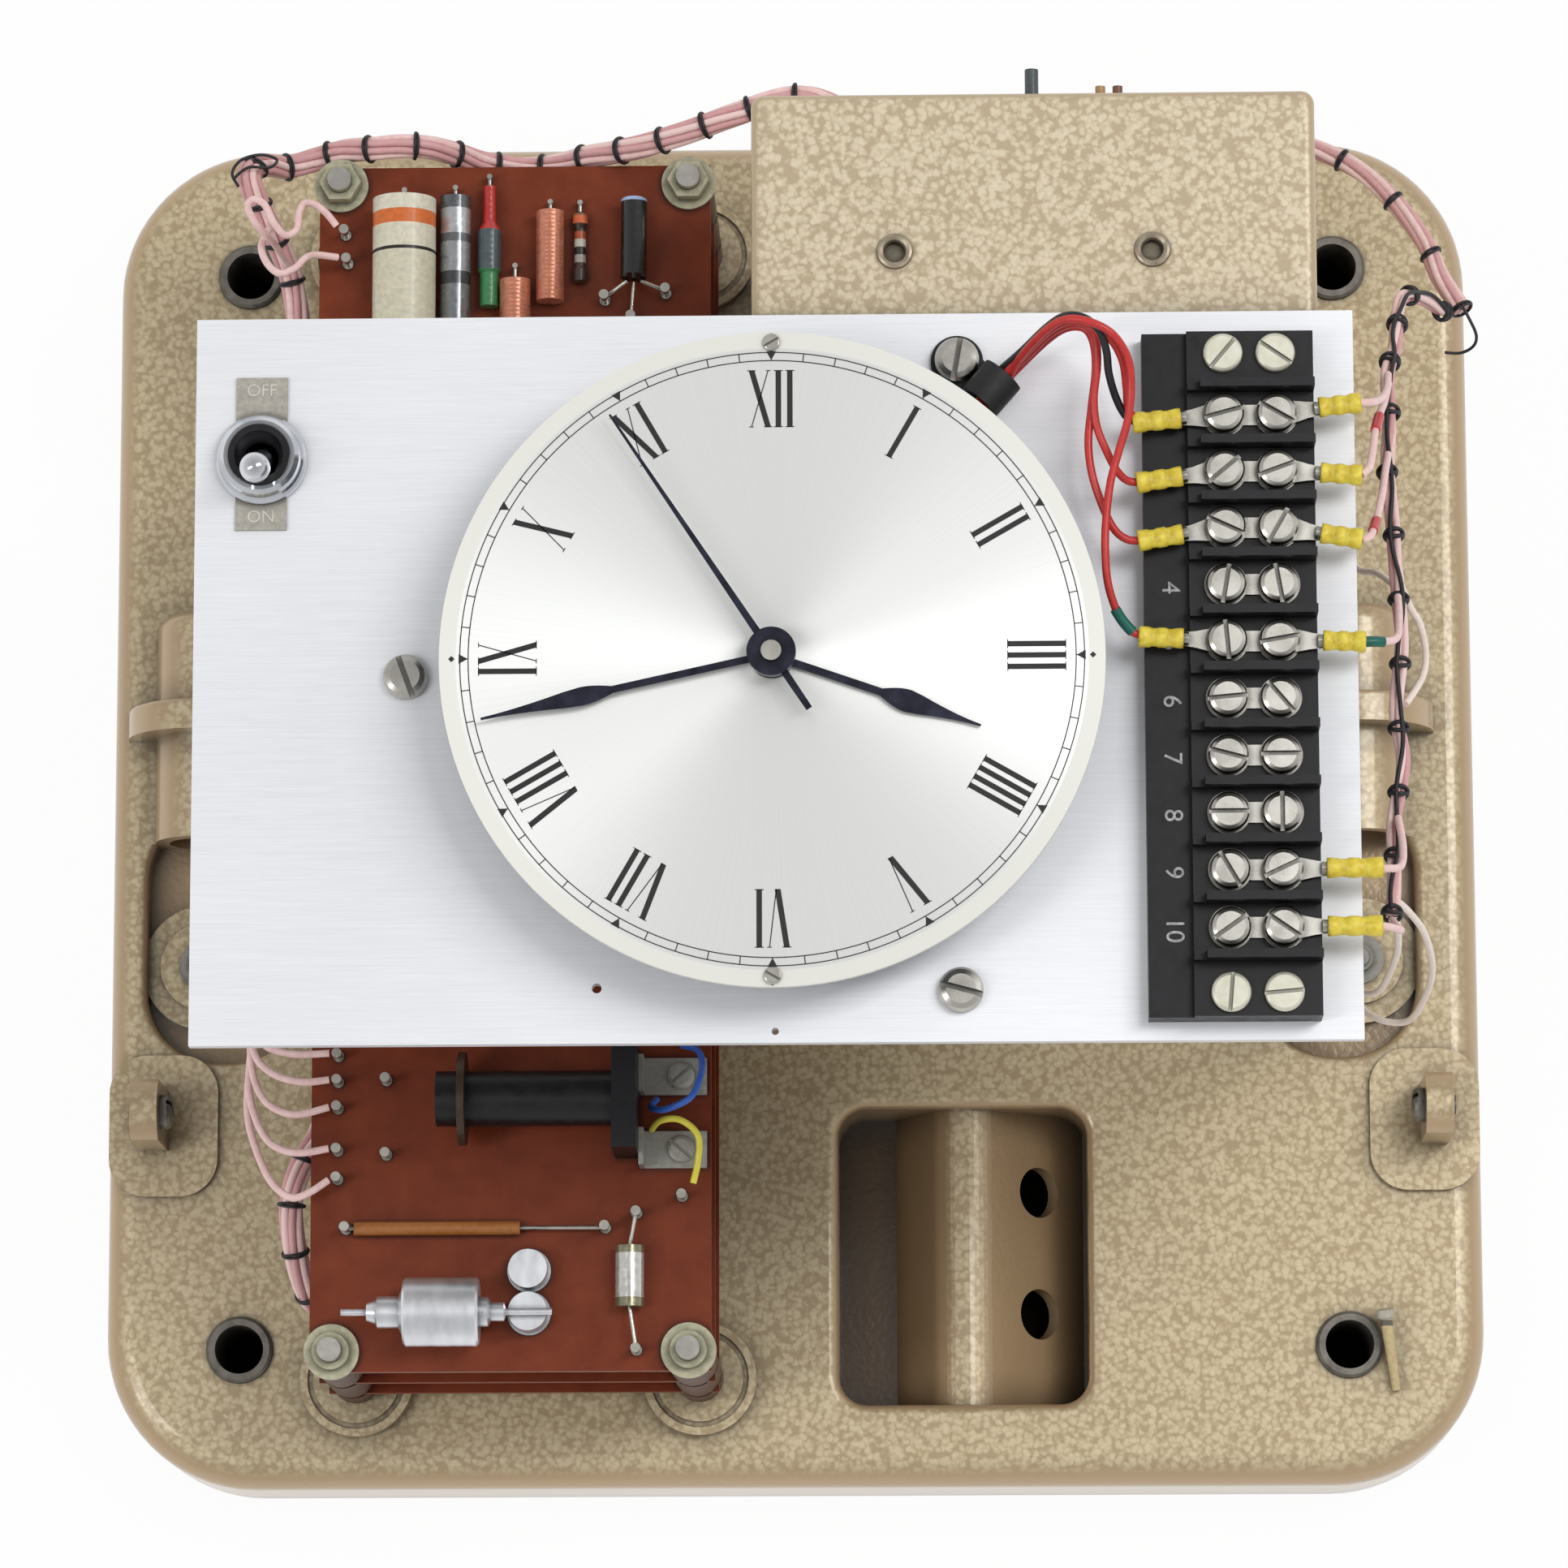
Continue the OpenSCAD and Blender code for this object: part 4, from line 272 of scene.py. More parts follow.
def banded(name, node, axis, bands, rough, sockets=(), rings_mm=0.0, relief_mm=0.05):
    """Painted bands across a part, each from its own place in millimetres on, with a little soil."""
    low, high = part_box(node)
    material, tree, shader, where = surface(name, sockets)
    parts = add(tree, "ShaderNodeSeparateXYZ", {}, {0: where})
    share = add(tree, "ShaderNodeMapRange", {"From Min": low[axis], "From Max": high[axis]},
                {"Value": parts.outputs[axis]})
    wide = high[axis] - low[axis]
    stops = [(min(1.0, max(0.0, (place * MM - low[axis]) / wide)), colour) for place, colour in bands]
    paint = add(tree, "ShaderNodeValToRGB", {"steps": "CONSTANT", "stops": stops},
                {"Fac": share.outputs[0]})
    soil = add(tree, "ShaderNodeTexNoise", {"Scale": 900.0, "Detail": 4.0}, {"Vector": where})
    dirt = add(tree, "ShaderNodeMapRange", {"From Min": 0.3, "From Max": 0.7, "To Min": 0.78},
               {"Value": soil.outputs[0]})
    shaded = add(tree, "ShaderNodeMix", {"data_type": "RGBA", "blend_type": "MULTIPLY", 0: 1.0},
                 {6: paint.outputs[0], 7: dirt.outputs[0]})
    gloss = add(tree, "ShaderNodeMapRange", {"From Min": 0.3, "From Max": 0.7, "To Min": rough[0],
                                             "To Max": rough[1]}, {"Value": soil.outputs[0]})
    tree.links.new(shaded.outputs[2], shader.inputs["Base Color"])
    tree.links.new(gloss.outputs[0], shader.inputs["Roughness"])
    if rings_mm:
        wave = add(tree, "ShaderNodeTexWave",
                   {"bands_direction": "XYZ"[axis], "Scale": 1 / (rings_mm * MM) / 3.14,
                    "Distortion": 0.6, "Detail": 1.0}, {"Vector": where})
        raise_from(tree, shader, wave.outputs["Fac"], relief_mm)
    return material


def hammered_cells(tree, where, blot_mm):
    """Height of the pale cells, 0 to 1, from cells of one size shaken out of order, with grain on top."""
    shake = add(tree, "ShaderNodeTexNoise", {"Scale": 0.9 / (blot_mm * MM), "Detail": 3.0},
                {"Vector": where})
    moved = add(tree, "ShaderNodeMix", {"data_type": "VECTOR", 0: 0.0018},
                {4: where, 5: shake.outputs["Color"]})
    cells = add(tree, "ShaderNodeTexVoronoi",
                {"feature": "SMOOTH_F1", "Scale": 1 / (blot_mm * MM), "Smoothness": 0.35},
                {"Vector": moved.outputs[1]})
    domes = add(tree, "ShaderNodeMapRange", {"From Min": 0.3, "From Max": 0.8},
                {"Value": cells.outputs["Distance"]})
    grain = add(tree, "ShaderNodeTexNoise",
                {"Scale": 0.6 / (blot_mm * MM), "Detail": 4.0, "Roughness": 0.6},
                {"Vector": moved.outputs[1]})
    part = add(tree, "ShaderNodeMath", {"operation": "MULTIPLY", 1: 0.6}, {0: grain.outputs[0]})
    place = add(tree, "ShaderNodeMath", {"operation": "MULTIPLY_ADD", 1: 0.45},
                {0: domes.outputs[0], 2: part.outputs[0]})
    return place.outputs[0]


def hammered(name, tones, slope_tone, blot_mm, sockets):
    """Hammered enamel in pale cells parted by thin wrinkles. The pale cell tone is kept to open level faces
    as a painted reflection of light from above, slopes take a plainer brown, and the floors of deep
    recesses are painted dark as shade."""
    material, tree, shader, where = surface(name, sockets)
    place = hammered_cells(tree, where, blot_mm)
    cell_tone = add(tree, "ShaderNodeValToRGB", {"stops": list(zip((0.22, 0.36, 0.5, 0.66), tones))},
                    {"Fac": place})
    normal = add(tree, "ShaderNodeNewGeometry").outputs["Normal"]
    facing = add(tree, "ShaderNodeSeparateXYZ", {}, {0: normal})
    flat = add(tree, "ShaderNodeMapRange", {"From Min": 0.8, "From Max": 0.98},
               {"Value": facing.outputs[2]})
    height_of = add(tree, "ShaderNodeSeparateXYZ", {}, {0: where})
    raised = add(tree, "ShaderNodeMapRange", {"From Min": PAINT_LOW, "From Max": PAINT_HIGH},
                 {"Value": height_of.outputs[2]})
    deep = add(tree, "ShaderNodeMapRange", {"From Min": FLOOR_HIGH, "From Max": FLOOR_LOW},
               {"Value": height_of.outputs[2]})
    # Floors of deep recesses take the painted shade tone
    floor_shade_mask = add(tree, "ShaderNodeMath", {"operation": "MINIMUM"},
                   {0: flat.outputs[0], 1: deep.outputs[0]})
    # Pale cell tone only on level faces above the recesses: painted reflection of light from above
    level = add(tree, "ShaderNodeMath", {"operation": "MINIMUM"},
                {0: flat.outputs[0], 1: raised.outputs[0]})
    painted_sheen_tone = add(tree, "ShaderNodeMix", {"data_type": "RGBA", 6: tint(slope_tone)},
                    {0: level.outputs[0], 7: cell_tone.outputs[0]})
    tone = add(tree, "ShaderNodeMix", {"data_type": "RGBA", 7: tint(FLOOR_SHADE_PAINT)},
               {0: floor_shade_mask.outputs[0], 6: painted_sheen_tone.outputs[2]})
    gloss = add(tree, "ShaderNodeMapRange", {"To Min": 0.3, "To Max": 0.46}, {"Value": level.outputs[0]})
    height = add(tree, "ShaderNodeMath", {"operation": "SUBTRACT", 0: 1.0}, {1: place})
    # Painted shade darkens the colour in recesses
    tree.links.new(painted_recess_shade(tree, tone.outputs[2], RECESS_REACH, 1.0), shader.inputs["Base Color"])
    tree.links.new(gloss.outputs[0], shader.inputs["Roughness"])
    raise_from(tree, shader, height.outputs[0], 0.12, 0.5)
    return material


def brushed(name, tones, rough, grain_mm, sockets):
    """Sheet rubbed lengthwise with fine grit: hair lines along x that streak the light."""
    material, tree, shader, where = surface(name, sockets)
    held = add(tree, "ShaderNodeMapping", {"Scale": HAIR_LINE}, {"Vector": where})
    lines = add(tree, "ShaderNodeTexNoise",
                {"Scale": 1 / (grain_mm * MM), "Detail": 6.0, "Roughness": 0.75},
                {"Vector": held.outputs[0]})
    cloud = add(tree, "ShaderNodeTexNoise", {"Scale": 14.0, "Detail": 2.0}, {"Vector": where})
    both = add(tree, "ShaderNodeMath", {"operation": "MULTIPLY_ADD", 1: 0.25},
               {0: cloud.outputs[0], 2: lines.outputs[0]})
    tone = add(tree, "ShaderNodeValToRGB", {"stops": [(0.45, tones[0]), (0.8, tones[1])]},
               {"Fac": both.outputs[0]})
    gloss = add(tree, "ShaderNodeMapRange", {"From Min": 0.35, "From Max": 0.65, "To Min": rough[0],
                                             "To Max": rough[1]}, {"Value": lines.outputs[0]})
    tree.links.new(tone.outputs[0], shader.inputs["Base Color"])
    tree.links.new(gloss.outputs[0], shader.inputs["Roughness"])
    raise_from(tree, shader, lines.outputs[0], 0.006, 0.3)
    return material


def sunray(name, centre, rim_r, field_tones, rim_tone):
    """Silvered dial brushed on a turntable, so that the light gathers in two wedges, with a matt rim."""
    material, tree, shader, where = surface(name, {"Anisotropic": 0.8, "Anisotropic Rotation": 0.25})
    held = add(tree, "ShaderNodeMapping", {"Location": (-centre[0], -centre[1], 0.0)}, {"Vector": where})
    parts = add(tree, "ShaderNodeSeparateXYZ", {}, {0: held.outputs[0]})
    angle = add(tree, "ShaderNodeMath", {"operation": "ARCTAN2"},
                {0: parts.outputs[1], 1: parts.outputs[0]})
    turned = add(tree, "ShaderNodeCombineXYZ", {}, {0: angle.outputs[0]})
    rays = add(tree, "ShaderNodeTexNoise", {"Scale": 90.0, "Detail": 5.0, "Roughness": 0.7},
               {"Vector": turned.outputs[0]})
    tone = add(tree, "ShaderNodeValToRGB", {"stops": [(0.3, field_tones[0]), (0.7, field_tones[1])]},
               {"Fac": rays.outputs[0]})
    flat = add(tree, "ShaderNodeCombineXYZ", {}, {0: parts.outputs[0], 1: parts.outputs[1]})
    reach = add(tree, "ShaderNodeVectorMath", {"operation": "LENGTH"}, {0: flat.outputs[0]})
    on_rim = add(tree, "ShaderNodeMapRange", {"From Min": rim_r, "From Max": rim_r + 0.0002},
                 {"Value": reach.outputs["Value"]})
    mixed = add(tree, "ShaderNodeMix", {"data_type": "RGBA", 7: tint(rim_tone)},
                {0: on_rim.outputs[0], 6: tone.outputs[0]})
    metal = add(tree, "ShaderNodeMapRange", {"To Min": 0.4, "To Max": 0.1}, {"Value": on_rim.outputs[0]})
    gloss = add(tree, "ShaderNodeMapRange", {"To Min": 0.36, "To Max": 0.55}, {"Value": on_rim.outputs[0]})
    round_it = add(tree, "ShaderNodeTangent", {"direction_type": "RADIAL", "axis": "Z"})
    for source, socket in ((mixed.outputs[2], "Base Color"), (metal.outputs[0], "Metallic"),
                           (gloss.outputs[0], "Roughness"), (round_it.outputs[0], "Tangent")):
        tree.links.new(source, shader.inputs[socket])
    return material


def insulated(name, tones, rough):
    """Plastic insulation drawn over wire: each wire of a bundle has its own shade."""
    material, tree, shader, where = surface(name, {"Specular IOR Level": 0.4})
    own = add(tree, "ShaderNodeAttribute", {"attribute_name": "shade"})
    soil = add(tree, "ShaderNodeTexNoise", {"Scale": 700.0, "Detail": 4.0}, {"Vector": where})
    both = add(tree, "ShaderNodeMath", {"operation": "MULTIPLY_ADD", 1: 0.45},
               {0: soil.outputs[0], 2: own.outputs["Fac"]})
    tone = add(tree, "ShaderNodeValToRGB", {"stops": list(zip((0.2, 0.75, 1.2), tones))},
               {"Fac": both.outputs[0]})
    gloss = add(tree, "ShaderNodeMapRange", {"To Min": rough[0], "To Max": rough[1]},
                {"Value": soil.outputs[0]})
    tree.links.new(tone.outputs[0], shader.inputs["Base Color"])
    tree.links.new(gloss.outputs[0], shader.inputs["Roughness"])
    raise_from(tree, shader, soil.outputs[0], 0.03, 0.3)
    return material


METAL = {"Metallic": 1.0}
CREAM_LOW, CREAM_HIGH = (corner[1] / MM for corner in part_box("cream_capacitor"))
CREAM_BANDS = [(CREAM_LOW + share * (CREAM_HIGH - CREAM_LOW), colour) for share, colour in
               ((0.0, "#D9D3BA"), (0.735, "#14130F"), (0.752, "#DFD9C3"), (0.862, "#DB6E28"),
                (0.928, "#E2DCC8"))]
DIODE_LOW, DIODE_HIGH = (corner[1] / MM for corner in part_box("banded_diode"))
DIODE_BANDS = [(DIODE_LOW + share * (DIODE_HIGH - DIODE_LOW), colour) for share, colour in
               ((0.0, "#3E8A55"), (0.3, "#4C5A5E"), (0.63, "#C02C28"))]
FINISH = {
    # Cast aluminium under hammered enamel: warm bronze with pale cells about 1.4 mm wide
    "hammered_paint": hammered("hammered_enamel_on_casting",
                               ("#D2C29F", "#CAB997", "#BFAD89", "#AE9A78"), "#B59B78", 1.35,
                               {"Metallic": 0.25, "Coat Weight": 0.5, "Coat Roughness": 0.12}),
    # Folded steel under the same enamel, sprayed thinner: paler
    "box_enamel": hammered("hammered_enamel_on_sheet", ("#DACCB0", "#D2C4A7", "#C8B89A", "#B6A486"),
                           "#B7A282", 1.3, {"Metallic": 0.15, "Coat Weight": 0.3, "Coat Roughness": 0.2}),
    # Zinc-plated steel gone dull: grey with cloudy oxide
    "dull_steel": drift("dull_zinc_plated_steel", ("#6F6C66", "#A3A099"), (0.4, 0.62), 3.0, METAL,
                        relief_mm=0.02),
    # Nickel-plated brass screws, turned: warm white with soft streaks
    "bright_steel": drift("nickel_plated_turned_brass", ("#B3B0A8", "#CFCCC4"), (0.24, 0.32), 5.0, METAL,
                          spread=0.3),
    # Aluminium sheet brushed along its length: near white with hair lines
    "panel_aluminium": brushed("brushed_aluminium_sheet", ("#E0E2E6", "#EFF0F3"), (0.42, 0.5), 0.16,
                               {"Metallic": 0.35, "Anisotropic": 0.3}),
    # Turned aluminium: grey with faint rings
    "turned_aluminium": brushed("turned_aluminium", ("#8E9196", "#B9BBBF"), (0.3, 0.42), 0.3, METAL),
    # Brass dial silvered and brushed on a turntable: pale grey with two bright wedges, matt rim
    "dial_metal": sunray("silvered_sunray_dial", (0.0, 0.0), 0.0602, ("#E4E5E3", "#EBECE9"), "#E3E3DC"),
    # Steel blued by heat: almost black with a violet cast
    "blued_steel": drift("heat_blued_steel", ("#1B1C27", "#2D2F40"), (0.25, 0.4), 4.0,
                         {"Metallic": 0.7, "Coat Weight": 0.2}),
    # Cut gear brass: yellow, slightly tarnished in patches
    "gear_brass": drift("cut_gear_brass", ("#A98638", "#CDAA5A"), (0.25, 0.42), 2.0, METAL,
                        relief_mm=0.01),
    # Paper phenolic board, varnished: red-brown, mottled, softly glossy
    "circuit_board": drift("varnished_paper_phenolic", ("#65260D", "#803616"), (0.34, 0.5), 9.0,
                           {"Specular IOR Level": 0.25}, relief_mm=0.02, spread=0.25),
    # Moulded black phenolic: glossy skin with dust
    "phenolic_black": drift("moulded_black_phenolic", ("#0B0A0D", "#17151A"), (0.3, 0.5), 3.0,
                            {"Specular IOR Level": 0.35}, relief_mm=0.02),
    # Moulded black rubber: dark and matt
    "black_rubber": drift("moulded_black_rubber", ("#101012", "#1F1F22"), (0.5, 0.7), 1.5, relief_mm=0.02),
    # Cream moulded capacitor shell with painted orange and black rings
    "cream_shell": banded("cream_moulded_shell", "cream_capacitor", 1, CREAM_BANDS, (0.35, 0.5),
                          {"Coat Weight": 0.15}),
    # Aluminium foil seen through clear plastic film, with sealed ends: bright grey in steps
    "clear_shell": banded("clear_film_over_foil", "clear_capacitors", 1,
                          [(-114.0, "#8F8A6E"), (-112.4, "#DAD9D3"), (-103.4, "#8F8A6E"),
                           (60.0, "#8E9195"), (97.0, "#4E5054"), (99.0, "#AEB2B6"), (106.0, "#73767A"),
                           (107.5, "#C9CCCF"), (113.2, "#6A6C70")],
                          (0.12, 0.3), {"Metallic": 0.6, "Coat Weight": 0.6, "Coat Roughness": 0.08}),
    # Lacquered diode: green below, slate in the middle, red tip
    "diode_bands": banded("lacquered_diode", "banded_diode", 1,
                          DIODE_BANDS, (0.25, 0.4), {"Coat Weight": 0.4}, rings_mm=1.3),
    # Wound copper-coloured foil under lacquer: orange metal in fine rings
    "copper_foil": banded("lacquered_copper_foil", "foil_capacitors", 1, [(70.0, "#D98A6C")], (0.22, 0.36),
                          {"Metallic": 0.4, "Coat Weight": 0.5}, rings_mm=0.9, relief_mm=0.08),
    # Lacquered clay: an ochre rod, and a small dark body with orange and white rings
    "resistor_clay": banded("lacquered_clay", "small_resistors", 1,
                            [(-99.2, "#A8692F"), (60.0, "#41302A"), (102.2, "#A9A29A"),
                             (103.7, "#2E2622"), (105.2, "#CFC9BD"), (106.7, "#B3532F"),
                             (108.5, "#3A2A22"), (109.7, "#D8693A"), (111.5, "#8C5A3A")],
                            (0.3, 0.45), {"Coat Weight": 0.2}),
    # Drawn aluminium cans: silver, scuffed
    "silver_can": drift("drawn_aluminium_can", ("#D0D2D6", "#E8E9EC"), (0.3, 0.4), 9.0,
                        {"Metallic": 0.85}, stretch=(3, 1, 1)),
    # Choke former and taped winding: black, varnished
    "choke_black": drift("varnished_black_tape", ("#070709", "#17171B"), (0.28, 0.5), 2.0,
                         {"Specular IOR Level": 0.4}, relief_mm=0.08),
    # Core of rolled iron sheets: dark grey
    "core_iron": drift("rolled_core_iron", ("#3A3C3F", "#5A5C60"), (0.4, 0.6), 0.5, METAL,
                       stretch=(1, 1, 6), relief_mm=0.03),
    # Wound enamelled copper wire under varnish: red-brown
    "copper_winding": drift("varnished_copper_winding", ("#7E3420", "#B4583A"), (0.3, 0.5), 0.6,
                            {"Metallic": 0.5}, stretch=(0.3, 0.3, 3), relief_mm=0.1),
    # Moulded nylon lug sleeves, crimped: strong yellow with ochre dents
    "yellow_sleeve": drift("crimped_yellow_nylon", ("#CDB02A", "#EBDA52"), (0.3, 0.48), 1.6,
                           relief_mm=0.15),
    # Fibre washers and cadmium-plated nuts: buff with a green cast
    "buff_washer": drift("buff_fibre_and_cadmium", ("#9D9A80", "#C4C0A6"), (0.4, 0.6), 1.5,
                         {"Metallic": 0.4}, relief_mm=0.02),
    # Grey anodised indicator plate, etched
    "plate_grey": drift("etched_grey_plate", ("#A39F96", "#BAB5AA"), (0.35, 0.5), 1.2, {"Metallic": 0.5},
                        relief_mm=0.01),
    # Extruded insulation in three colours, each wire a little different
    "pink_wire": insulated("pink_insulation", ("#CC9798", "#E0B2B1", "#EFCFCB"), (0.35, 0.55)),
    "red_wire": insulated("red_insulation", ("#8E1A1B", "#AE2728", "#C23632"), (0.25, 0.4)),
    "blue_wire": insulated("blue_insulation", ("#1E3F8C", "#2C56B4", "#3A68C8"), (0.25, 0.4)),
    # Waxed lacing cord: near black, dull
    "waxed_lacing": drift("waxed_lacing_cord", ("#141216", "#2B272D"), (0.45, 0.65), 0.5, relief_mm=0.05),
}
EXTRA = {
    # Insulation of single wires
    "yellow_wire": insulated("yellow_insulation", ("#C9B91F", "#DDD032", "#E8DE55"), (0.25, 0.4)),
    "black_wire": insulated("black_insulation", ("#101012", "#1C1C20", "#28282C"), (0.25, 0.4)),
    # Printing ink on the dial: flat black
    "dial_ink": drift("black_printing_ink", ("#0B0B0D", "#17171A"), (0.4, 0.55), 0.4),
    # Insulation of the pale spare wires
    "pale_wire": insulated("pale_insulation", ("#D3BDB0", "#E6D3C8", "#F1E4DA"), (0.4, 0.6)),
    # White paint wiped into moulded figures, half worn away
    "figure_paint": drift("worn_figure_paint", ("#77777A", "#C3C2BF"), (0.5, 0.7), 0.9),
    # Shallow etched words on the switch plate, paler than the plate
    "etched_words": drift("etched_words", ("#BDB8AE", "#D2CEC5"), (0.4, 0.6), 0.8),
    # Polished chrome on the toggle and its dress nut
    "chrome": drift("polished_chrome", ("#C2C5CA", "#D6D8DC"), (0.07, 0.13), 8.0, METAL),
    # Cadmium-plated screw heads: pale with a green cast
    "plated_screw": drift("cadmium_plated_screw", ("#C6C4B0", "#DAD8C8"), (0.36, 0.5), 3.0,
                          {"Metallic": 0.45}),
    # Rolled eyelet of tinned brass: warm grey with a tan edge, with painted shade reaching 4 mm into its
    # hollow
    "eyelet": drift("rolled_brass_eyelet", ("#8D8272", "#BCAE96"), (0.3, 0.45), 2.5, {"Metallic": 0.6},
                    slot_mm=4.0),
    # Moulded black transistor body with a pale blue cap at its upper end
    "capped_body": banded("capped_black_phenolic", "capped_transistor", 1,
                          [(97.9, "#0C0C0F"), (114.7, "#A8BBE2")], (0.2, 0.35), {"Coat Weight": 0.5}),
    # Choke fittings: rusty end disc, black block and tinned soldering lugs
    "choke_metal": banded("choke_end_fittings", "choke_fittings", 0,
                          [(-65.5, "#4A382B"), (-50.0, "#15161B"), (-29.6, "#A5A39B")], (0.3, 0.5),
                          {"Metallic": 0.35}, relief_mm=0.1),
    # Pegs behind the supply box: the first slate grey, the others tan and brown
    "peg_colours": banded("supply_peg_plastic", "supply_pegs", 0,
                          [(49.4, "#4C5355"), (56.0, "#B58F60"), (66.0, "#7A5340")], (0.3, 0.45)),
    # Leaning pin: tan sleeve with a dark ring and a plated tip
    "pin_sleeve": banded("sleeved_pin", "leaning_pin", 1,
                         [(-125.8, "#CDB98A"), (-112.6, "#6A655A"), (-111.4, "#B9B3A4")], (0.35, 0.5)),
    # Spacer tubes of paper phenolic, brown like the boards
    "spacer_tube": drift("paper_phenolic_tube", ("#43251A", "#593426"), (0.4, 0.6), 2.0),
    # Mounting sleeves: cadmium-plated steel, grimy, with painted shade reaching 6 mm into their bores
    "sleeve_steel": drift("grimy_plated_sleeve_with_painted_shade", ("#5F5B55", "#8B867D"), (0.45, 0.6), 3.0,
                          {"Metallic": 0.7}, slot_mm=6.0),
    # Coloured marker sleeves on single wires
    "teal_wire": insulated("teal_insulation", ("#0E3A35", "#16534A", "#1E6659"), (0.3, 0.45)),
}


# Parts whose real finish is finer than their slot's
OWN_FINISH = {
    "block_screws": "plated_screw", "supply_eyelets": "eyelet", "capped_transistor": "capped_body",
    "choke_fittings": "choke_metal", "supply_pegs": "peg_colours", "leaning_pin": "pin_sleeve",
    "dress_nut": "chrome", "toggle_lever": "chrome", "board_spacers": "spacer_tube",
    "mounting_sleeves": "sleeve_steel",
}


def dress_nodes(slots_of):
    """Give every carried-over part the finish of its slot in the record, or its own finer one."""
    for name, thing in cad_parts.items():
        finish = EXTRA[OWN_FINISH[name]] if name in OWN_FINISH else FINISH[slots_of[name]]
        thing.data.materials.clear()
        thing.data.materials.append(finish)


# The slot that the record gives each part
SLOT_OF = {
    "base_casting": "hammered_paint", "mounting_sleeves": "dull_steel", "lug_screws": "dull_steel",
    "well_fixings": "dull_steel", "leaning_pin": "cream_sleeve", "board_studs": "bright_steel",
    "board_spacers": "buff_washer", "upper_board": "circuit_board", "lower_boards": "circuit_board",
    "board_washers": "buff_washer", "board_nuts": "buff_washer", "cream_capacitor": "cream_shell",
    "clear_capacitors": "clear_shell", "banded_diode": "diode_bands", "foil_capacitors": "copper_foil",
    "small_resistors": "resistor_clay", "capped_transistor": "phenolic_black",
    "pins_and_leads": "bright_steel", "choke_winding": "choke_black", "choke_fittings": "dull_steel",
    "canister_capacitor": "silver_can", "can_transistors": "silver_can", "link_wires": "blue_wire",
    "supply_cover": "box_enamel", "supply_eyelets": "buff_washer", "transformer_core": "core_iron",
    "transformer_winding": "copper_winding", "supply_pegs": "amber_peg", "front_panel": "panel_aluminium",
    "panel_posts": "dull_steel", "movement_screws": "bright_steel", "toggle_body": "phenolic_black",
    "dress_nut": "bright_steel", "switch_plate": "plate_grey", "toggle_lever": "bright_steel",
    "terminal_block": "phenolic_black", "terminal_links": "bright_steel",
    "terminal_screws": "bright_steel", "block_screws": "buff_washer", "ring_lugs": "bright_steel",
    "lug_sleeves": "yellow_sleeve", "cable_clip": "black_rubber", "dial_leads": "red_wire",
    "dial": "dial_metal", "dial_screws": "bright_steel", "dial_ring": "turned_aluminium",
    "hour_hand": "blued_steel", "minute_hand": "blued_steel", "seconds_hand": "blued_steel",
    "movement_case": "turned_aluminium", "movement_frame": "gear_brass", "drive_motor": "silver_can",
    "seconds_arbor": "bright_steel", "centre_wheel": "gear_brass", "third_wheel": "gear_brass",
    "minute_wheel": "gear_brass", "hour_wheel": "gear_brass", "wiring_harness": "pink_wire",
    "branch_wires": "pink_wire", "harness_ties": "waxed_lacing",
}
dress_nodes(SLOT_OF)


# Wiring, along the routes that the solid tubes follow, in millimetres

# Thick bundle: from below the boards up their left edge and along the top to behind the supply box
TRUNK = [(-94, -111, 62), (-97, -110.5, 67), (-99, -106.5, 72), (-100.4, -101, 75.5), (-101.2, -94.5, 77),
         (-100.9, -88.5, 77), (-99, -82.5, 77), (-95.6, -76.5, 77), (-93.8, -70, 77), (-94, -62, 77),
         (-96.4, -52, 77), (-99, -40, 77), (-100, -25, 77), (-100, 20, 77), (-100, 60, 77),
         (-101.2, 90, 78), (-102.9, 102.6, 80), (-105, 108, 84), (-107.4, 113, 90), (-109.6, 117.5, 95),
         (-110.2, 121.2, 96), (-107.2, 123.8, 92), (-103, 124.6, 87), (-97, 126.6, 86), (-91.5, 127.4, 89),
         (-85, 127, 92), (-79, 127.3, 93), (-73.5, 127.3, 92), (-68, 126.8, 88), (-62.5, 126, 83.5),
         (-54, 125.2, 82), (-47, 125.6, 83), (-39.5, 126.2, 88), (-29.5, 126.4, 94), (-20.5, 128, 98),
         (-10, 131, 101), (4, 134.5, 102), (16, 130, 102), (32, 125, 102), (50, 124, 102)]
# The same bundle with fewer wires, from behind the supply box down to the right
TRUNK_END = [(49, 124, 102), (60, 125, 104), (72, 127, 108), (92, 126, 108), (108, 121, 109),
             (120, 114, 110), (130, 102, 110), (134, 93, 110), (138, 86, 112)]
# Thin bundle beside the terminal block
RUN = [(134, 85, 114), (130, 86.3, 119), (125.3, 84.8, 127), (123.6, 78, 133), (122.5, 71.5, 138),
       (120.7, 64.6, 144), (120.9, 54.7, 147), (120, 44.2, 149), (121, 31.4, 150), (121.7, 19.3, 150),
       (122, 8, 150), (121, -4, 150), (122, -14, 150), (120, -26, 151), (120, -35, 152), (119, -45, 156)]
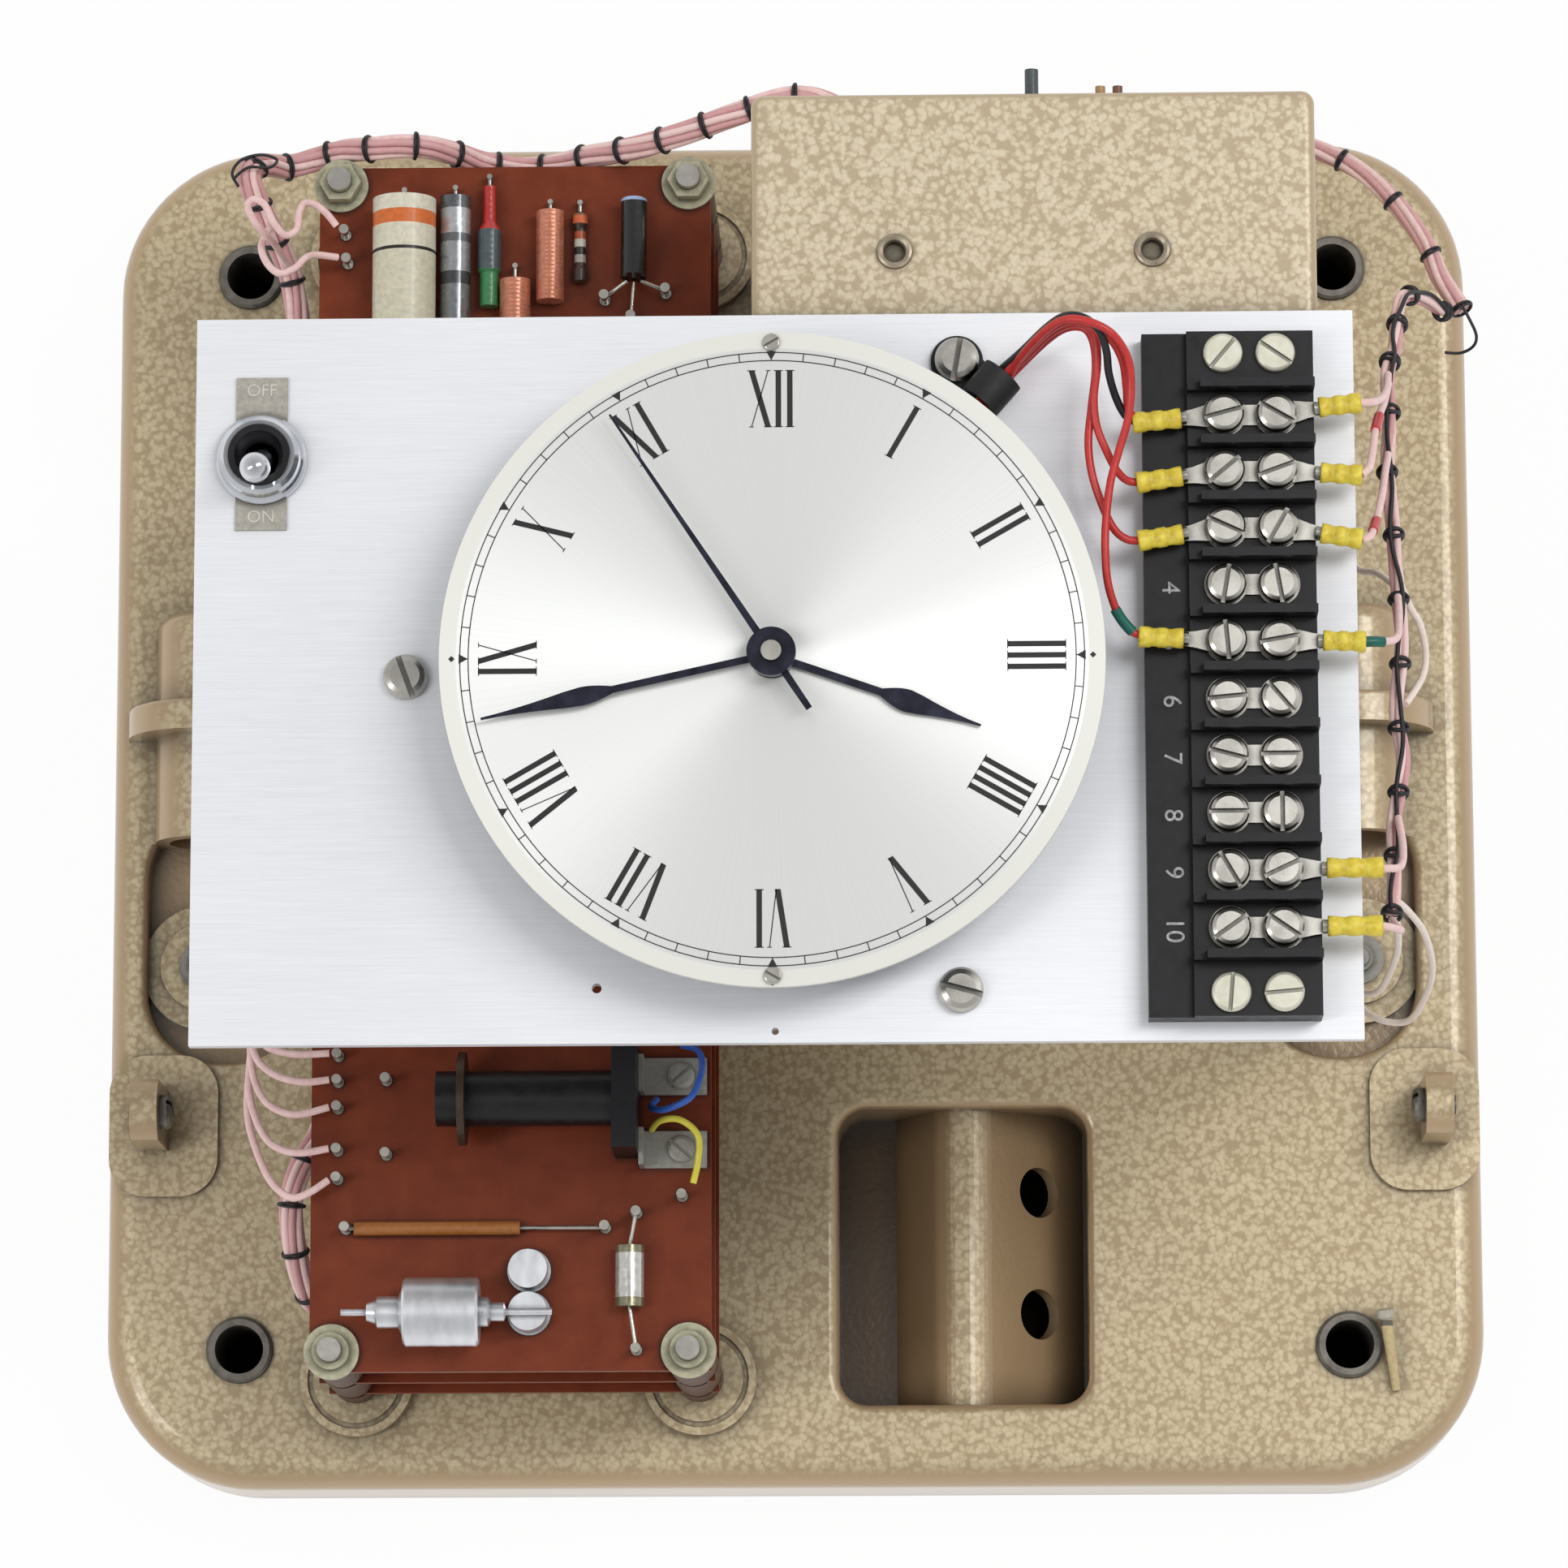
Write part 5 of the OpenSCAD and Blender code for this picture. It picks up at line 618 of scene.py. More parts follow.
# Single wires: to the pins at the left edge of the board, to its upper pins, and to the ring lugs
PIN_LOOPS = [
    [(-106.5, -58, 90), (-105.8, -60, 92), (-103.7, -61.6, 94), (-98.6, -62.8, 95.5),
     (-92.1, -62.6, 95.6)],
    [(-107.5, -58, 89), (-108, -60.5, 91.5), (-106.3, -64.3, 94), (-102.5, -67.2, 95.5),
     (-97.3, -68.5, 96), (-92.1, -68, 95.6)],
    [(-108.5, -58, 87), (-108.7, -61.2, 89), (-107.5, -67.7, 92), (-104.5, -72.7, 94.5), (-99, -75.1, 96),
     (-92.1, -73.6, 95.6)],
    [(-108.5, -57, 85), (-109, -63, 87), (-108.8, -69.8, 90), (-106.8, -76.3, 92.5), (-103.6, -81, 95),
     (-98.4, -82.9, 96), (-92.1, -82, 95.6)],
    [(-108.5, -57, 83), (-109.4, -65.6, 85), (-109.2, -74.5, 88), (-106.9, -82.2, 91), (-103.6, -88.7, 94),
     (-99.5, -91.9, 96), (-95.8, -91, 96.5), (-92.1, -88.4, 95.6)]]
TOP_LOOPS = [
    [(-103, 104, 85), (-105, 105.7, 98), (-107.7, 107.7, 104), (-109.4, 110.9, 106), (-108.4, 112.4, 107),
     (-106, 111.4, 107), (-104.1, 107.8, 106), (-101.9, 105.6, 104), (-99.7, 107.2, 102.5),
     (-99.4, 110.9, 101), (-98.6, 113.4, 99.5), (-96.6, 113.7, 98), (-94.3, 112.2, 97),
     (-92.1, 109.6, 96)],
    [(-106.5, 110, 92), (-107.4, 104.7, 98), (-105.6, 100, 102), (-102.8, 97.5, 104), (-99.8, 99, 103),
     (-98.1, 101.4, 101), (-96.2, 102.8, 98.5), (-91.8, 102.9, 96)]]
RIGHT_BRANCHES = [
    [(120.6, 64, 147.5), (119.9, 59.5, 155), (118.4, 55.5, 164), (116.6, 52.4, 174), (115, 51, 179),
     (113, 50.7, 180.1)],
    [(120.6, 62, 148.5), (119.4, 57, 154), (117.9, 52.5, 161), (116.6, 47.5, 167), (115.8, 43, 173),
     (114.8, 38.4, 178.5), (113.1, 36.5, 180.1)],
    [(120.1, 47, 151.5), (119, 41.5, 157), (118, 36, 163), (116.5, 30, 170.5), (115.4, 26.3, 176),
     (114.4, 24.4, 179.5), (113, 23.8, 180.1)],
    [(121.4, 18, 153.4), (121, 12, 162), (119.8, 6, 173), (116.8, 4, 179), (113.5, 3.8, 180.1)],
    [(120.6, -26, 154.4), (120.9, -33, 163), (119.8, -38.5, 173), (116.8, -40, 179), (113.5, -40, 180.1)],
    [(118.9, -46.3, 156.6), (119.8, -49.5, 165), (119.3, -51, 174), (116.6, -51.2, 179),
     (113.5, -51.1, 180.1)]]
# Leads from the clip under the dial to the left row of ring lugs
RED_LEADS = [
    [(30.1, 38.5, 176.9), (31.7, 40.6, 176.9), (38.9, 51.7, 176.2), (43.9, 56.8, 176.6), (48.3, 60.2, 181),
     (53.1, 63.3, 188), (56.9, 64.4, 191.5), (61, 63.4, 192.5), (64.9, 61, 191.5), (67.3, 57.3, 188.5),
     (68.1, 52.9, 185), (68.5, 49.4, 182), (70.3, 47.2, 180.3)],
    [(29.2, 39.2, 173.5), (30.8, 41.3, 173.5), (38.1, 52.4, 172.8), (43.8, 57.4, 174), (48.6, 60.2, 179),
     (53.3, 63.4, 185), (57, 64.5, 188.5), (60.3, 64.1, 189.5), (62.2, 61.7, 188.5), (62.5, 56.9, 187),
     (61.8, 50.7, 186), (62.3, 45.4, 185), (64.1, 40.8, 184), (66.1, 37.2, 182.5), (68.2, 35.5, 181),
     (70.9, 35.3, 180.3)],
    [(31.5, 37.4, 175.6), (33.1, 39.5, 175.6), (40.3, 50.5, 174.9), (44.6, 56.2, 175), (48.8, 60.2, 177),
     (53.4, 63.4, 182), (56.8, 64.6, 185.5), (60.1, 64.1, 187), (61.8, 61.4, 186.5), (62.2, 56.4, 185.5),
     (61.4, 49.5, 184.5), (60.7, 42.4, 184), (61.4, 36.1, 183.5), (63.4, 30, 182.5), (65.6, 25.8, 181.4),
     (68.2, 24, 180.5), (71.1, 23.9, 180.3)],
    [(31, 37.8, 173.5), (32.6, 39.9, 173.5), (39.7, 51, 172.8), (44.4, 56, 174.6), (48.1, 60.1, 182),
     (52.9, 63.3, 190), (56.7, 64.3, 194), (61.2, 63.4, 195), (65.4, 61.2, 194), (68.2, 57.5, 191),
     (68.9, 52.7, 189), (68.3, 46.3, 187.5), (66.5, 40.2, 186.5), (64.8, 34, 186), (63.9, 26.9, 185.5),
     (63.7, 20.7, 185), (64.2, 14.6, 184), (66, 9.2, 182.5), (68.3, 6.2, 181), (71, 5.1, 180.3)]]
BLACK_LEAD = [(28.7, 39.6, 175.6), (30.3, 41.7, 175.6), (37.5, 52.9, 174.9), (43, 57.8, 176),
              (47.9, 61, 181), (52.9, 64.2, 188), (56.4, 65.4, 192), (59.8, 64.7, 193.5),
              (62.8, 62.3, 193), (64.2, 58.8, 190.5), (64.7, 55.3, 187), (66.1, 51.4, 183),
              (68, 48.3, 180.9), (70.3, 47, 180.3)]
# Short coloured sleeves that mark single wires
TEAL_MARKS = [[(65.5, 10, 182.8), (67, 7.8, 181.8), (68.8, 5.9, 180.9)],
              [(112.8, 3.8, 180.1), (115, 3.9, 179.8), (116.9, 4, 178.9)]]
RED_MARKS = [[(117.9, 52.5, 161), (116.8, 48.5, 166)], [(116.4, 29.4, 171.2), (115.4, 26.3, 176)]]
# Pale wires: two from the thin bundle to the stud in the right well, one beside the bundle, and one from
# a panel post to the bundle
PALE_WIRES = [
    [(119.5, -42, 155), (123, -43, 145), (126.9, -44.9, 130), (129.7, -48.3, 110), (129.7, -51.1, 90),
     (127.3, -53.6, 70), (121.5, -52, 62), (118, -46, 48), (118.6, -38, 36), (119.9, -34.5, 30)],
    [(119.5, -43, 154), (120.8, -46, 144), (121.6, -48.1, 130), (121.1, -49.9, 110), (120, -50.5, 90),
     (117.5, -48, 72), (116.5, -43, 54), (117.5, -37, 38), (119.2, -33.5, 30)],
    [(122.2, 21, 150.5), (124.3, 17, 147), (126.2, 14.1, 145), (127.4, 9, 142), (126.5, 3.9, 143),
     (122.8, -2.5, 149)],
    [(110.2, 61, 106), (110.8, 51, 107), (112.6, 39.5, 111), (115.5, 30.8, 120), (118.6, 27.7, 130),
     (120.6, 23.9, 140), (121.6, 20.5, 148.5)]]
# Cut ends of the lacing cord
LOOSE_ENDS = [
    [(137.7, 86.5, 114), (139.6, 84.5, 110), (141.3, 82, 106), (140.9, 80.4, 103), (138.5, 79.5, 101),
     (135.2, 79.6, 101)],
    [(-112.2, 117.4, 99), (-113.6, 120.4, 98), (-111.8, 123.2, 98), (-107.8, 124.6, 97),
     (-104.6, 123.8, 96), (-105.8, 121.4, 98.8), (-110, 121, 100.4), (-113, 119, 99.6)]]
# Links between the choke's lugs and the board
BLUE_LINK = [(-26, -72, 92.4), (-27, -74, 96), (-24, -75, 100), (-19, -73, 102), (-17, -69, 101),
             (-16.6, -65, 98), (-18, -62, 94), (-21, -61, 92.4)]
YELLOW_LINK = [(-27, -78, 92.4), (-25, -77, 98), (-21, -77, 99), (-17.5, -80, 98), (-17.5, -85, 97),
               (-18.5, -89.5, 96.4)]


def smooth(route, steps):
    """Points of the smooth curve through the given points, in metres."""
    points = [Vector(p) * MM for p in route]
    ends = [points[0]] + points + [points[-1]]
    curve = []
    for i in range(len(points) - 1):
        a, b, c, d = ends[i:i + 4]
        for k in range(steps):
            t = k / steps
            curve.append(0.5 * (2 * b + (c - a) * t + (2 * a - 5 * b + 4 * c - d) * t * t
                                + (3 * b - a - 3 * c + d) * t ** 3))
    return curve + [points[-1]]


def path_mesh(name, routes, steps=8):
    """Mesh of bare edges along several routes, for the node trees to build on."""
    points = []
    edges = []
    for route in routes:
        start = len(points)
        points += smooth(route, steps)
        edges += [(i, i + 1) for i in range(start, len(points) - 1)]
    mesh = bpy.data.meshes.new(name)
    mesh.from_pydata(points, edges, [])
    return mesh


def open_tree(name, sizes):
    """New geometry tree with named inputs; returns it and the outputs of its input node."""
    tree = bpy.data.node_groups.new(name, "GeometryNodeTree")
    tree.interface.new_socket(name="Geometry", in_out="INPUT", socket_type="NodeSocketGeometry")
    for label, kind in sizes:
        tree.interface.new_socket(name=label, in_out="INPUT", socket_type="NodeSocket" + kind)
    tree.interface.new_socket(name="Finish", in_out="INPUT", socket_type="NodeSocketMaterial")
    tree.interface.new_socket(name="Geometry", in_out="OUTPUT", socket_type="NodeSocketGeometry")
    return tree, add(tree, "NodeGroupInput").outputs


def close_tree(tree, geometry, finish):
    """End a tree in real geometry with its finish."""
    real = add(tree, "GeometryNodeRealizeInstances", {}, {0: geometry})
    painted = add(tree, "GeometryNodeSetMaterial", {}, {"Geometry": real.outputs[0], "Material": finish})
    add(tree, "NodeGroupOutput", {}, {0: painted.outputs[0]})
    return tree


def wire_tree():
    """Round wires laid round a route with a slow twist."""
    tree, given = open_tree("laid_wires", (("Wires", "Int"), ("Lay radius", "Float"),
                                           ("Wire radius", "Float"), ("Twist", "Float")))
    route = add(tree, "GeometryNodeMeshToCurve", {}, {"Mesh": given["Geometry"]})
    copies = add(tree, "GeometryNodeDuplicateElements", {"domain": "SPLINE"},
                 {"Geometry": route.outputs[0], "Amount": given["Wires"]})
    share = add(tree, "ShaderNodeMath", {"operation": "DIVIDE"},
                {0: copies.outputs["Duplicate Index"], 1: given["Wires"]})
    whole = add(tree, "ShaderNodeMath", {"operation": "MULTIPLY", 1: math.tau}, {0: share.outputs[0]})
    length = add(tree, "GeometryNodeSplineParameter")
    turn = add(tree, "ShaderNodeMath", {"operation": "MULTIPLY_ADD"},
               {0: length.outputs["Length"], 1: given["Twist"], 2: whole.outputs[0]})
    side = add(tree, "ShaderNodeVectorRotate", {},
               {"Vector": add(tree, "GeometryNodeInputNormal").outputs[0],
                "Axis": add(tree, "GeometryNodeInputTangent").outputs[0], "Angle": turn.outputs[0]})
    offset = add(tree, "ShaderNodeVectorMath", {"operation": "SCALE"},
                 {0: side.outputs[0], "Scale": given["Lay radius"]})
    laid = add(tree, "GeometryNodeSetPosition", {},
               {"Geometry": copies.outputs[0], "Offset": offset.outputs[0]})
    shade = add(tree, "FunctionNodeRandomValue", {"data_type": "FLOAT", "Seed": 4},
                {"ID": copies.outputs["Duplicate Index"]})
    marked = add(tree, "GeometryNodeStoreNamedAttribute", {"Name": "shade", "domain": "POINT"},
                 {"Geometry": laid.outputs[0], "Value": shade.outputs[1]})
    section = add(tree, "GeometryNodeCurvePrimitiveCircle", {"Resolution": 12},
                  {"Radius": given["Wire radius"]})
    body = add(tree, "GeometryNodeCurveToMesh", {"Fill Caps": True},
               {"Curve": marked.outputs[0], "Profile Curve": section.outputs[0]})
    return close_tree(tree, body.outputs[0], given["Finish"])


def lacing_tree():
    """Crossed hitches of lacing cord at even steps along a bundle, and the cord that joins them."""
    tree, given = open_tree("lacing", (("Pitch", "Float"), ("Bundle radius", "Float"),
                                       ("Cord radius", "Float"), ("Slant", "Float"),
                                       ("Cord side", "Float"), ("Cord swing", "Float")))
    route = add(tree, "GeometryNodeMeshToCurve", {}, {"Mesh": given["Geometry"]})
    level = add(tree, "GeometryNodeSetCurveNormal", {"mode": "Z_UP"}, {"Curve": route.outputs[0]})
    even = add(tree, "GeometryNodeResampleCurve", {"mode": "LENGTH"},
               {"Curve": level.outputs[0], "Length": given["Pitch"]})
    spots = add(tree, "GeometryNodeCurveToPoints", {"mode": "EVALUATED"}, {"Curve": even.outputs[0]})
    reach = add(tree, "ShaderNodeMath", {"operation": "MULTIPLY_ADD", 1: 0.7},
                {0: given["Cord radius"], 2: given["Bundle radius"]})
    loop = add(tree, "GeometryNodeCurvePrimitiveCircle", {"Resolution": 24}, {"Radius": reach.outputs[0]})
    cord = add(tree, "GeometryNodeCurvePrimitiveCircle", {"Resolution": 8},
               {"Radius": given["Cord radius"]})
    ring = add(tree, "GeometryNodeCurveToMesh", {},
               {"Curve": loop.outputs[0], "Profile Curve": cord.outputs[0]})
    back = add(tree, "ShaderNodeMath", {"operation": "MULTIPLY", 1: -0.6}, {0: given["Slant"]})
    leans = []
    for source in (given["Slant"], back.outputs[0]):
        lean = add(tree, "ShaderNodeCombineXYZ", {}, {0: source})
        leans.append(add(tree, "GeometryNodeTransform", {},
                         {"Geometry": ring.outputs[0], "Rotation": lean.outputs[0]}))
    knot_r = add(tree, "ShaderNodeMath", {"operation": "MULTIPLY", 1: 1.7}, {0: given["Cord radius"]})
    knot = add(tree, "GeometryNodeMeshIcoSphere", {"Subdivisions": 2}, {"Radius": knot_r.outputs[0]})
    knot_at = add(tree, "ShaderNodeCombineXYZ", {}, {1: reach.outputs[0]})
    knot_on = add(tree, "GeometryNodeTransform", {},
                  {"Geometry": knot.outputs[0], "Translation": knot_at.outputs[0]})
    hitch = add(tree, "GeometryNodeJoinGeometry")
    for source in (leans[0], leans[1], knot_on):
        tree.links.new(source.outputs[0], hitch.inputs[0])
    hitches = add(tree, "GeometryNodeInstanceOnPoints", {},
                  {"Points": spots.outputs["Points"], "Instance": hitch.outputs[0],
                   "Rotation": spots.outputs["Rotation"]})
    normal = add(tree, "GeometryNodeInputNormal")
    tangent = add(tree, "GeometryNodeInputTangent")
    up = add(tree, "ShaderNodeVectorMath", {"operation": "CROSS_PRODUCT"},
             {0: normal.outputs[0], 1: tangent.outputs[0]})
    length = add(tree, "GeometryNodeSplineParameter")
    hitch_count = add(tree, "ShaderNodeMath", {"operation": "DIVIDE"},
                      {0: length.outputs["Length"], 1: given["Pitch"]})
    phase = add(tree, "ShaderNodeMath", {"operation": "MULTIPLY", 1: math.pi}, {0: hitch_count.outputs[0]})
    swing = add(tree, "ShaderNodeMath", {"operation": "SINE"}, {0: phase.outputs[0]})
    swung = add(tree, "ShaderNodeMath", {"operation": "MULTIPLY"},
                {0: swing.outputs[0], 1: given["Cord swing"]})
    beside = add(tree, "ShaderNodeVectorMath", {"operation": "SCALE"},
                 {0: normal.outputs[0], "Scale": swung.outputs[0]})
    above = add(tree, "ShaderNodeVectorMath", {"operation": "SCALE"},
                {0: up.outputs[0], "Scale": given["Cord side"]})
    outward = add(tree, "ShaderNodeVectorMath", {"operation": "ADD"},
                  {0: above.outputs[0], 1: beside.outputs[0]})
    aimed = add(tree, "ShaderNodeVectorMath", {"operation": "NORMALIZE"}, {0: outward.outputs[0]})
    lift = add(tree, "ShaderNodeVectorMath", {"operation": "SCALE"},
               {0: aimed.outputs[0], "Scale": reach.outputs[0]})
    moved = add(tree, "GeometryNodeSetPosition", {},
                {"Geometry": level.outputs[0], "Offset": lift.outputs[0]})
    running = add(tree, "GeometryNodeCurveToMesh", {"Fill Caps": True},
                  {"Curve": moved.outputs[0], "Profile Curve": cord.outputs[0]})
    both = add(tree, "GeometryNodeJoinGeometry")
    for source in (hitches, running):
        tree.links.new(source.outputs[0], both.inputs[0])
    return close_tree(tree, both.outputs[0], given["Finish"])


def track_tree():
    """Minute track of a dial: two fine circles with a line at every minute."""
    tree, given = open_tree("minute_track", (("Inner", "Float"), ("Outer", "Float"), ("Line", "Float"),
                                             ("Print", "Float")))
    middle = add(tree, "ShaderNodeMath", {"operation": "ADD"}, {0: given["Inner"], 1: given["Outer"]})
    half = add(tree, "ShaderNodeMath", {"operation": "MULTIPLY", 1: 0.5}, {0: middle.outputs[0]})
    wide = add(tree, "ShaderNodeMath", {"operation": "SUBTRACT"}, {0: given["Outer"], 1: given["Inner"]})
    minutes = add(tree, "GeometryNodeCurvePrimitiveCircle", {"Resolution": 60},
                  {"Radius": half.outputs[0]})
    spots = add(tree, "GeometryNodeCurveToPoints", {"mode": "EVALUATED"}, {"Curve": minutes.outputs[0]})
    size = add(tree, "ShaderNodeCombineXYZ", {}, {0: wide.outputs[0], 1: given["Print"], 2: given["Line"]})
    line = add(tree, "GeometryNodeMeshCube", {}, {"Size": size.outputs[0]})
    lines = add(tree, "GeometryNodeInstanceOnPoints", {},
                {"Points": spots.outputs["Points"], "Instance": line.outputs[0],
                 "Rotation": spots.outputs["Rotation"]})
    flat = add(tree, "GeometryNodeCurvePrimitiveQuadrilateral", {},
               {"Width": given["Line"], "Height": given["Print"]})
    joined = add(tree, "GeometryNodeJoinGeometry", {}, {0: lines.outputs[0]})
    for radius in (given["Inner"], given["Outer"]):
        circle = add(tree, "GeometryNodeCurvePrimitiveCircle", {"Resolution": 180}, {"Radius": radius})
        ring = add(tree, "GeometryNodeCurveToMesh", {},
                   {"Curve": circle.outputs[0], "Profile Curve": flat.outputs[0]})
        tree.links.new(ring.outputs[0], joined.inputs[0])
    return close_tree(tree, joined.outputs[0], given["Finish"])


def own(made, slot, body="root", nodes=()):
    """Ride a finished piece on its body and hide the nodes that it stands for; its slot is not used."""
    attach(made, body)
    if nodes:
        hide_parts(*nodes)
    return made


def solid_piece(name, target, finish, slot, body="root", nodes=()):
    """Piece from a bmesh."""
    mesh = bpy.data.meshes.new(name)
    target.to_mesh(mesh)
    target.free()
    mesh.materials.append(finish)
    made = bpy.data.objects.new(name, mesh)
    scene.collection.objects.link(made)
    return own(made, slot, body, nodes)


def grow(name, mesh, tree, values, slot, nodes=(), soft=True):
    """Run a tree on a mesh and keep the result as one plain piece."""
    source = bpy.data.objects.new(name + "_path", mesh)
    scene.collection.objects.link(source)
    work = source.modifiers.new("grow", "NODES")
    work.node_group = tree
    for item in tree.interface.items_tree:
        if item.in_out == "INPUT" and item.name in values:
            work[item.identifier] = values[item.name]
    evaluated = source.evaluated_get(bpy.context.evaluated_depsgraph_get())
    made = bpy.data.objects.new(name, bpy.data.meshes.new_from_object(evaluated))
    scene.collection.objects.link(made)
    bpy.data.objects.remove(source)
    made.data.polygons.foreach_set("use_smooth", [soft] * len(made.data.polygons))
    return own(made, slot, nodes=nodes)


def wire(name, routes, radius_mm, finish, slot, nodes=(), wires=1, lay_mm=0.0, lay_turn_mm=60.0):
    """One wire on each route, or a bundle of wires laid round it."""
    grow(name, path_mesh(name, routes), laid_wires,
         {"Wires": wires, "Lay radius": lay_mm * MM, "Wire radius": radius_mm * MM,
          "Twist": math.tau / (lay_turn_mm * MM), "Finish": finish}, slot, nodes)


def lace(name, route, pitch_mm, bundle_mm, cord_mm, slant, side, swing, nodes=()):
    """Lacing cord round one bundle."""
    grow(name, path_mesh(name, [route]), lacing,
         {"Pitch": pitch_mm * MM, "Bundle radius": bundle_mm * MM, "Slant": slant,
          "Cord radius": cord_mm * MM, "Cord side": side, "Cord swing": swing,
          "Finish": FINISH["waxed_lacing"]}, "waxed_lacing", nodes)


laid_wires = wire_tree()
lacing = lacing_tree()
pink = FINISH["pink_wire"]
wire("trunk_outer_wires", [TRUNK], 0.76, pink, "pink_wire", ("wiring_harness",), wires=7, lay_mm=1.75,
     lay_turn_mm=150)
wire("trunk_inner_wires", [TRUNK], 0.7, pink, "pink_wire", wires=3, lay_mm=0.75, lay_turn_mm=170)
wire("trunk_end_wires", [TRUNK_END], 0.76, pink, "pink_wire", wires=6, lay_mm=1.25, lay_turn_mm=120)
wire("run_wires", [RUN], 0.72, pink, "pink_wire", wires=3, lay_mm=0.82, lay_turn_mm=90)
wire("pale_spare_wires", PALE_WIRES, 0.7, EXTRA["pale_wire"], "pink_wire")
wire("terminal_and_pin_wires", PIN_LOOPS + TOP_LOOPS + RIGHT_BRANCHES, 0.75, pink, "pink_wire",
     ("branch_wires",))
wire("red_dial_leads", RED_LEADS, 0.78, FINISH["red_wire"], "red_wire", ("dial_leads",))
wire("black_dial_lead", [BLACK_LEAD], 0.78, EXTRA["black_wire"], "black_rubber")
wire("teal_marker_sleeves", TEAL_MARKS, 1.05, EXTRA["teal_wire"], "blue_wire")
wire("red_marker_sleeves", RED_MARKS, 1.0, FINISH["red_wire"], "red_wire")
wire("blue_link_wire", [BLUE_LINK], 0.68, FINISH["blue_wire"], "blue_wire", ("link_wires",))
wire("yellow_link_wire", [YELLOW_LINK], 0.68, EXTRA["yellow_wire"], "yellow_sleeve")
lace("trunk_lacing", TRUNK, pitch_mm=9.6, bundle_mm=2.5, cord_mm=0.3, slant=0.16, side=-1.0, swing=0.0,
     nodes=("harness_ties",))
lace("trunk_end_lacing", TRUNK_END, pitch_mm=13.5, bundle_mm=2.0, cord_mm=0.3, slant=0.2, side=-1.0,
     swing=0.0)
lace("run_lacing", RUN, pitch_mm=12.0, bundle_mm=1.5, cord_mm=0.44, slant=0.6, side=1.0, swing=0.45)
wire("loose_lacing_ends", LOOSE_ENDS, 0.32, FINISH["waxed_lacing"], "waxed_lacing")


# Crimped sleeves on the ring lugs

# Lug end and wire end of each sleeve, in millimetres, and the height of the lugs' barrels
LEFT_SLEEVES = [((78.6, 47.9), (69.3, 47.05)), ((78.7, 36.5), (69.9, 35.2)), ((78.7, 25.1), (70.1, 23.8)),
                ((78.6, 4.7), (70, 5.1))]
RIGHT_SLEEVES = [((105.2, 49.8), (113.2, 50.7)), ((105.3, 37), (113.2, 36.4)),
                 ((105.2, 25.1), (113.1, 23.8)), ((105.3, 4.1), (113.4, 3.8)), ((105.3, -40), (116, -40)),
                 ((105.3, -51.2), (115.7, -51.2))]
SLEEVE_Z = 180.1
SLEEVE_SIDES = 24
# Share of the length, radius in millimetres and flatness at each ring of a sleeve
SLEEVE_SHAPE = [(0.0, 1.35, 1.0), (0.0, 1.95, 1.0), (0.08, 2.0, 1.0), (0.2, 1.85, 0.95), (0.26, 1.7, 0.72),
                (0.34, 1.7, 0.72), (0.4, 1.95, 0.95), (0.55, 1.95, 0.95), (0.61, 1.75, 0.78),
                (0.7, 1.75, 0.78), (0.76, 2.0, 1.0), (0.94, 2.1, 1.0), (1.0, 2.0, 1.0), (1.0, 1.1, 1.0)]


def crimped_sleeves(ends):
    """Nylon sleeves from the lug to the wire, dented twice by the crimping tool."""
    target = bmesh.new()
    for start, end in ends:
        start = Vector((*start, SLEEVE_Z)) * MM
        along = Vector((*end, SLEEVE_Z)) * MM - start
        side = along.cross(Vector((0, 0, 1))).normalized()
        rings = []
        for share, radius, flat in SLEEVE_SHAPE:
            rings.append([])
            for i in range(SLEEVE_SIDES):
                turn = math.tau * i / SLEEVE_SIDES
                wide = side * math.cos(turn) * radius * MM * (1.12 - 0.12 * flat)
                tall = Vector((0, 0, math.sin(turn) * radius * flat * MM))
                rings[-1].append(target.verts.new(start + along * share + wide + tall))
        for low, high in zip(rings, rings[1:]):
            for i in range(SLEEVE_SIDES):
                k = (i + 1) % SLEEVE_SIDES
                target.faces.new((low[i], low[k], high[k], high[i]))
        target.faces.new(rings[0][::-1])
        target.faces.new(rings[-1])
    bmesh.ops.recalc_face_normals(target, faces=target.faces)
    made = solid_piece("crimped_lug_sleeves", target, FINISH["yellow_sleeve"], "yellow_sleeve",
                       nodes=("lug_sleeves",))
    made.data.polygons.foreach_set("use_smooth", [True] * len(made.data.polygons))


crimped_sleeves(LEFT_SLEEVES + RIGHT_SLEEVES)


# Printing on the dial

DIAL_LOW, DIAL_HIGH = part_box("dial")
DIAL_FACE = DIAL_HIGH[2]
PRINT = 0.05 * MM
TRACK_IN, TRACK_OUT = 57.9, 59.5
TRACK_LINE = 0.2
NUMERAL_IN, NUMERAL_OUT = 44.8, 56.0
THICK, THIN, SERIF = 1.05, 0.2, 0.16
NUMERALS = ("XII", "I", "II", "III", "IIII", "V", "VI", "VII", "VIII", "IX", "X", "XI")


def stamp(target, outline, low, high, place=None):
    """Thin solid of a flat outline in millimetres between two heights in metres."""
    corners = [Vector((x * MM, y * MM, 0)) for x, y in outline]
    if place:
        corners = [place @ c for c in corners]
    area = sum(a.x * b.y - b.x * a.y for a, b in zip(corners, corners[1:] + corners[:1]))
    if area < 0:
        corners.reverse()
    rings = [[target.verts.new((c.x, c.y, z)) for c in corners] for z in (low, high)]
    target.faces.new(rings[1])
    target.faces.new(rings[0][::-1])
    for i in range(len(corners)):
        k = (i + 1) % len(corners)
        target.faces.new((rings[0][i], rings[0][k], rings[1][k], rings[1][i]))


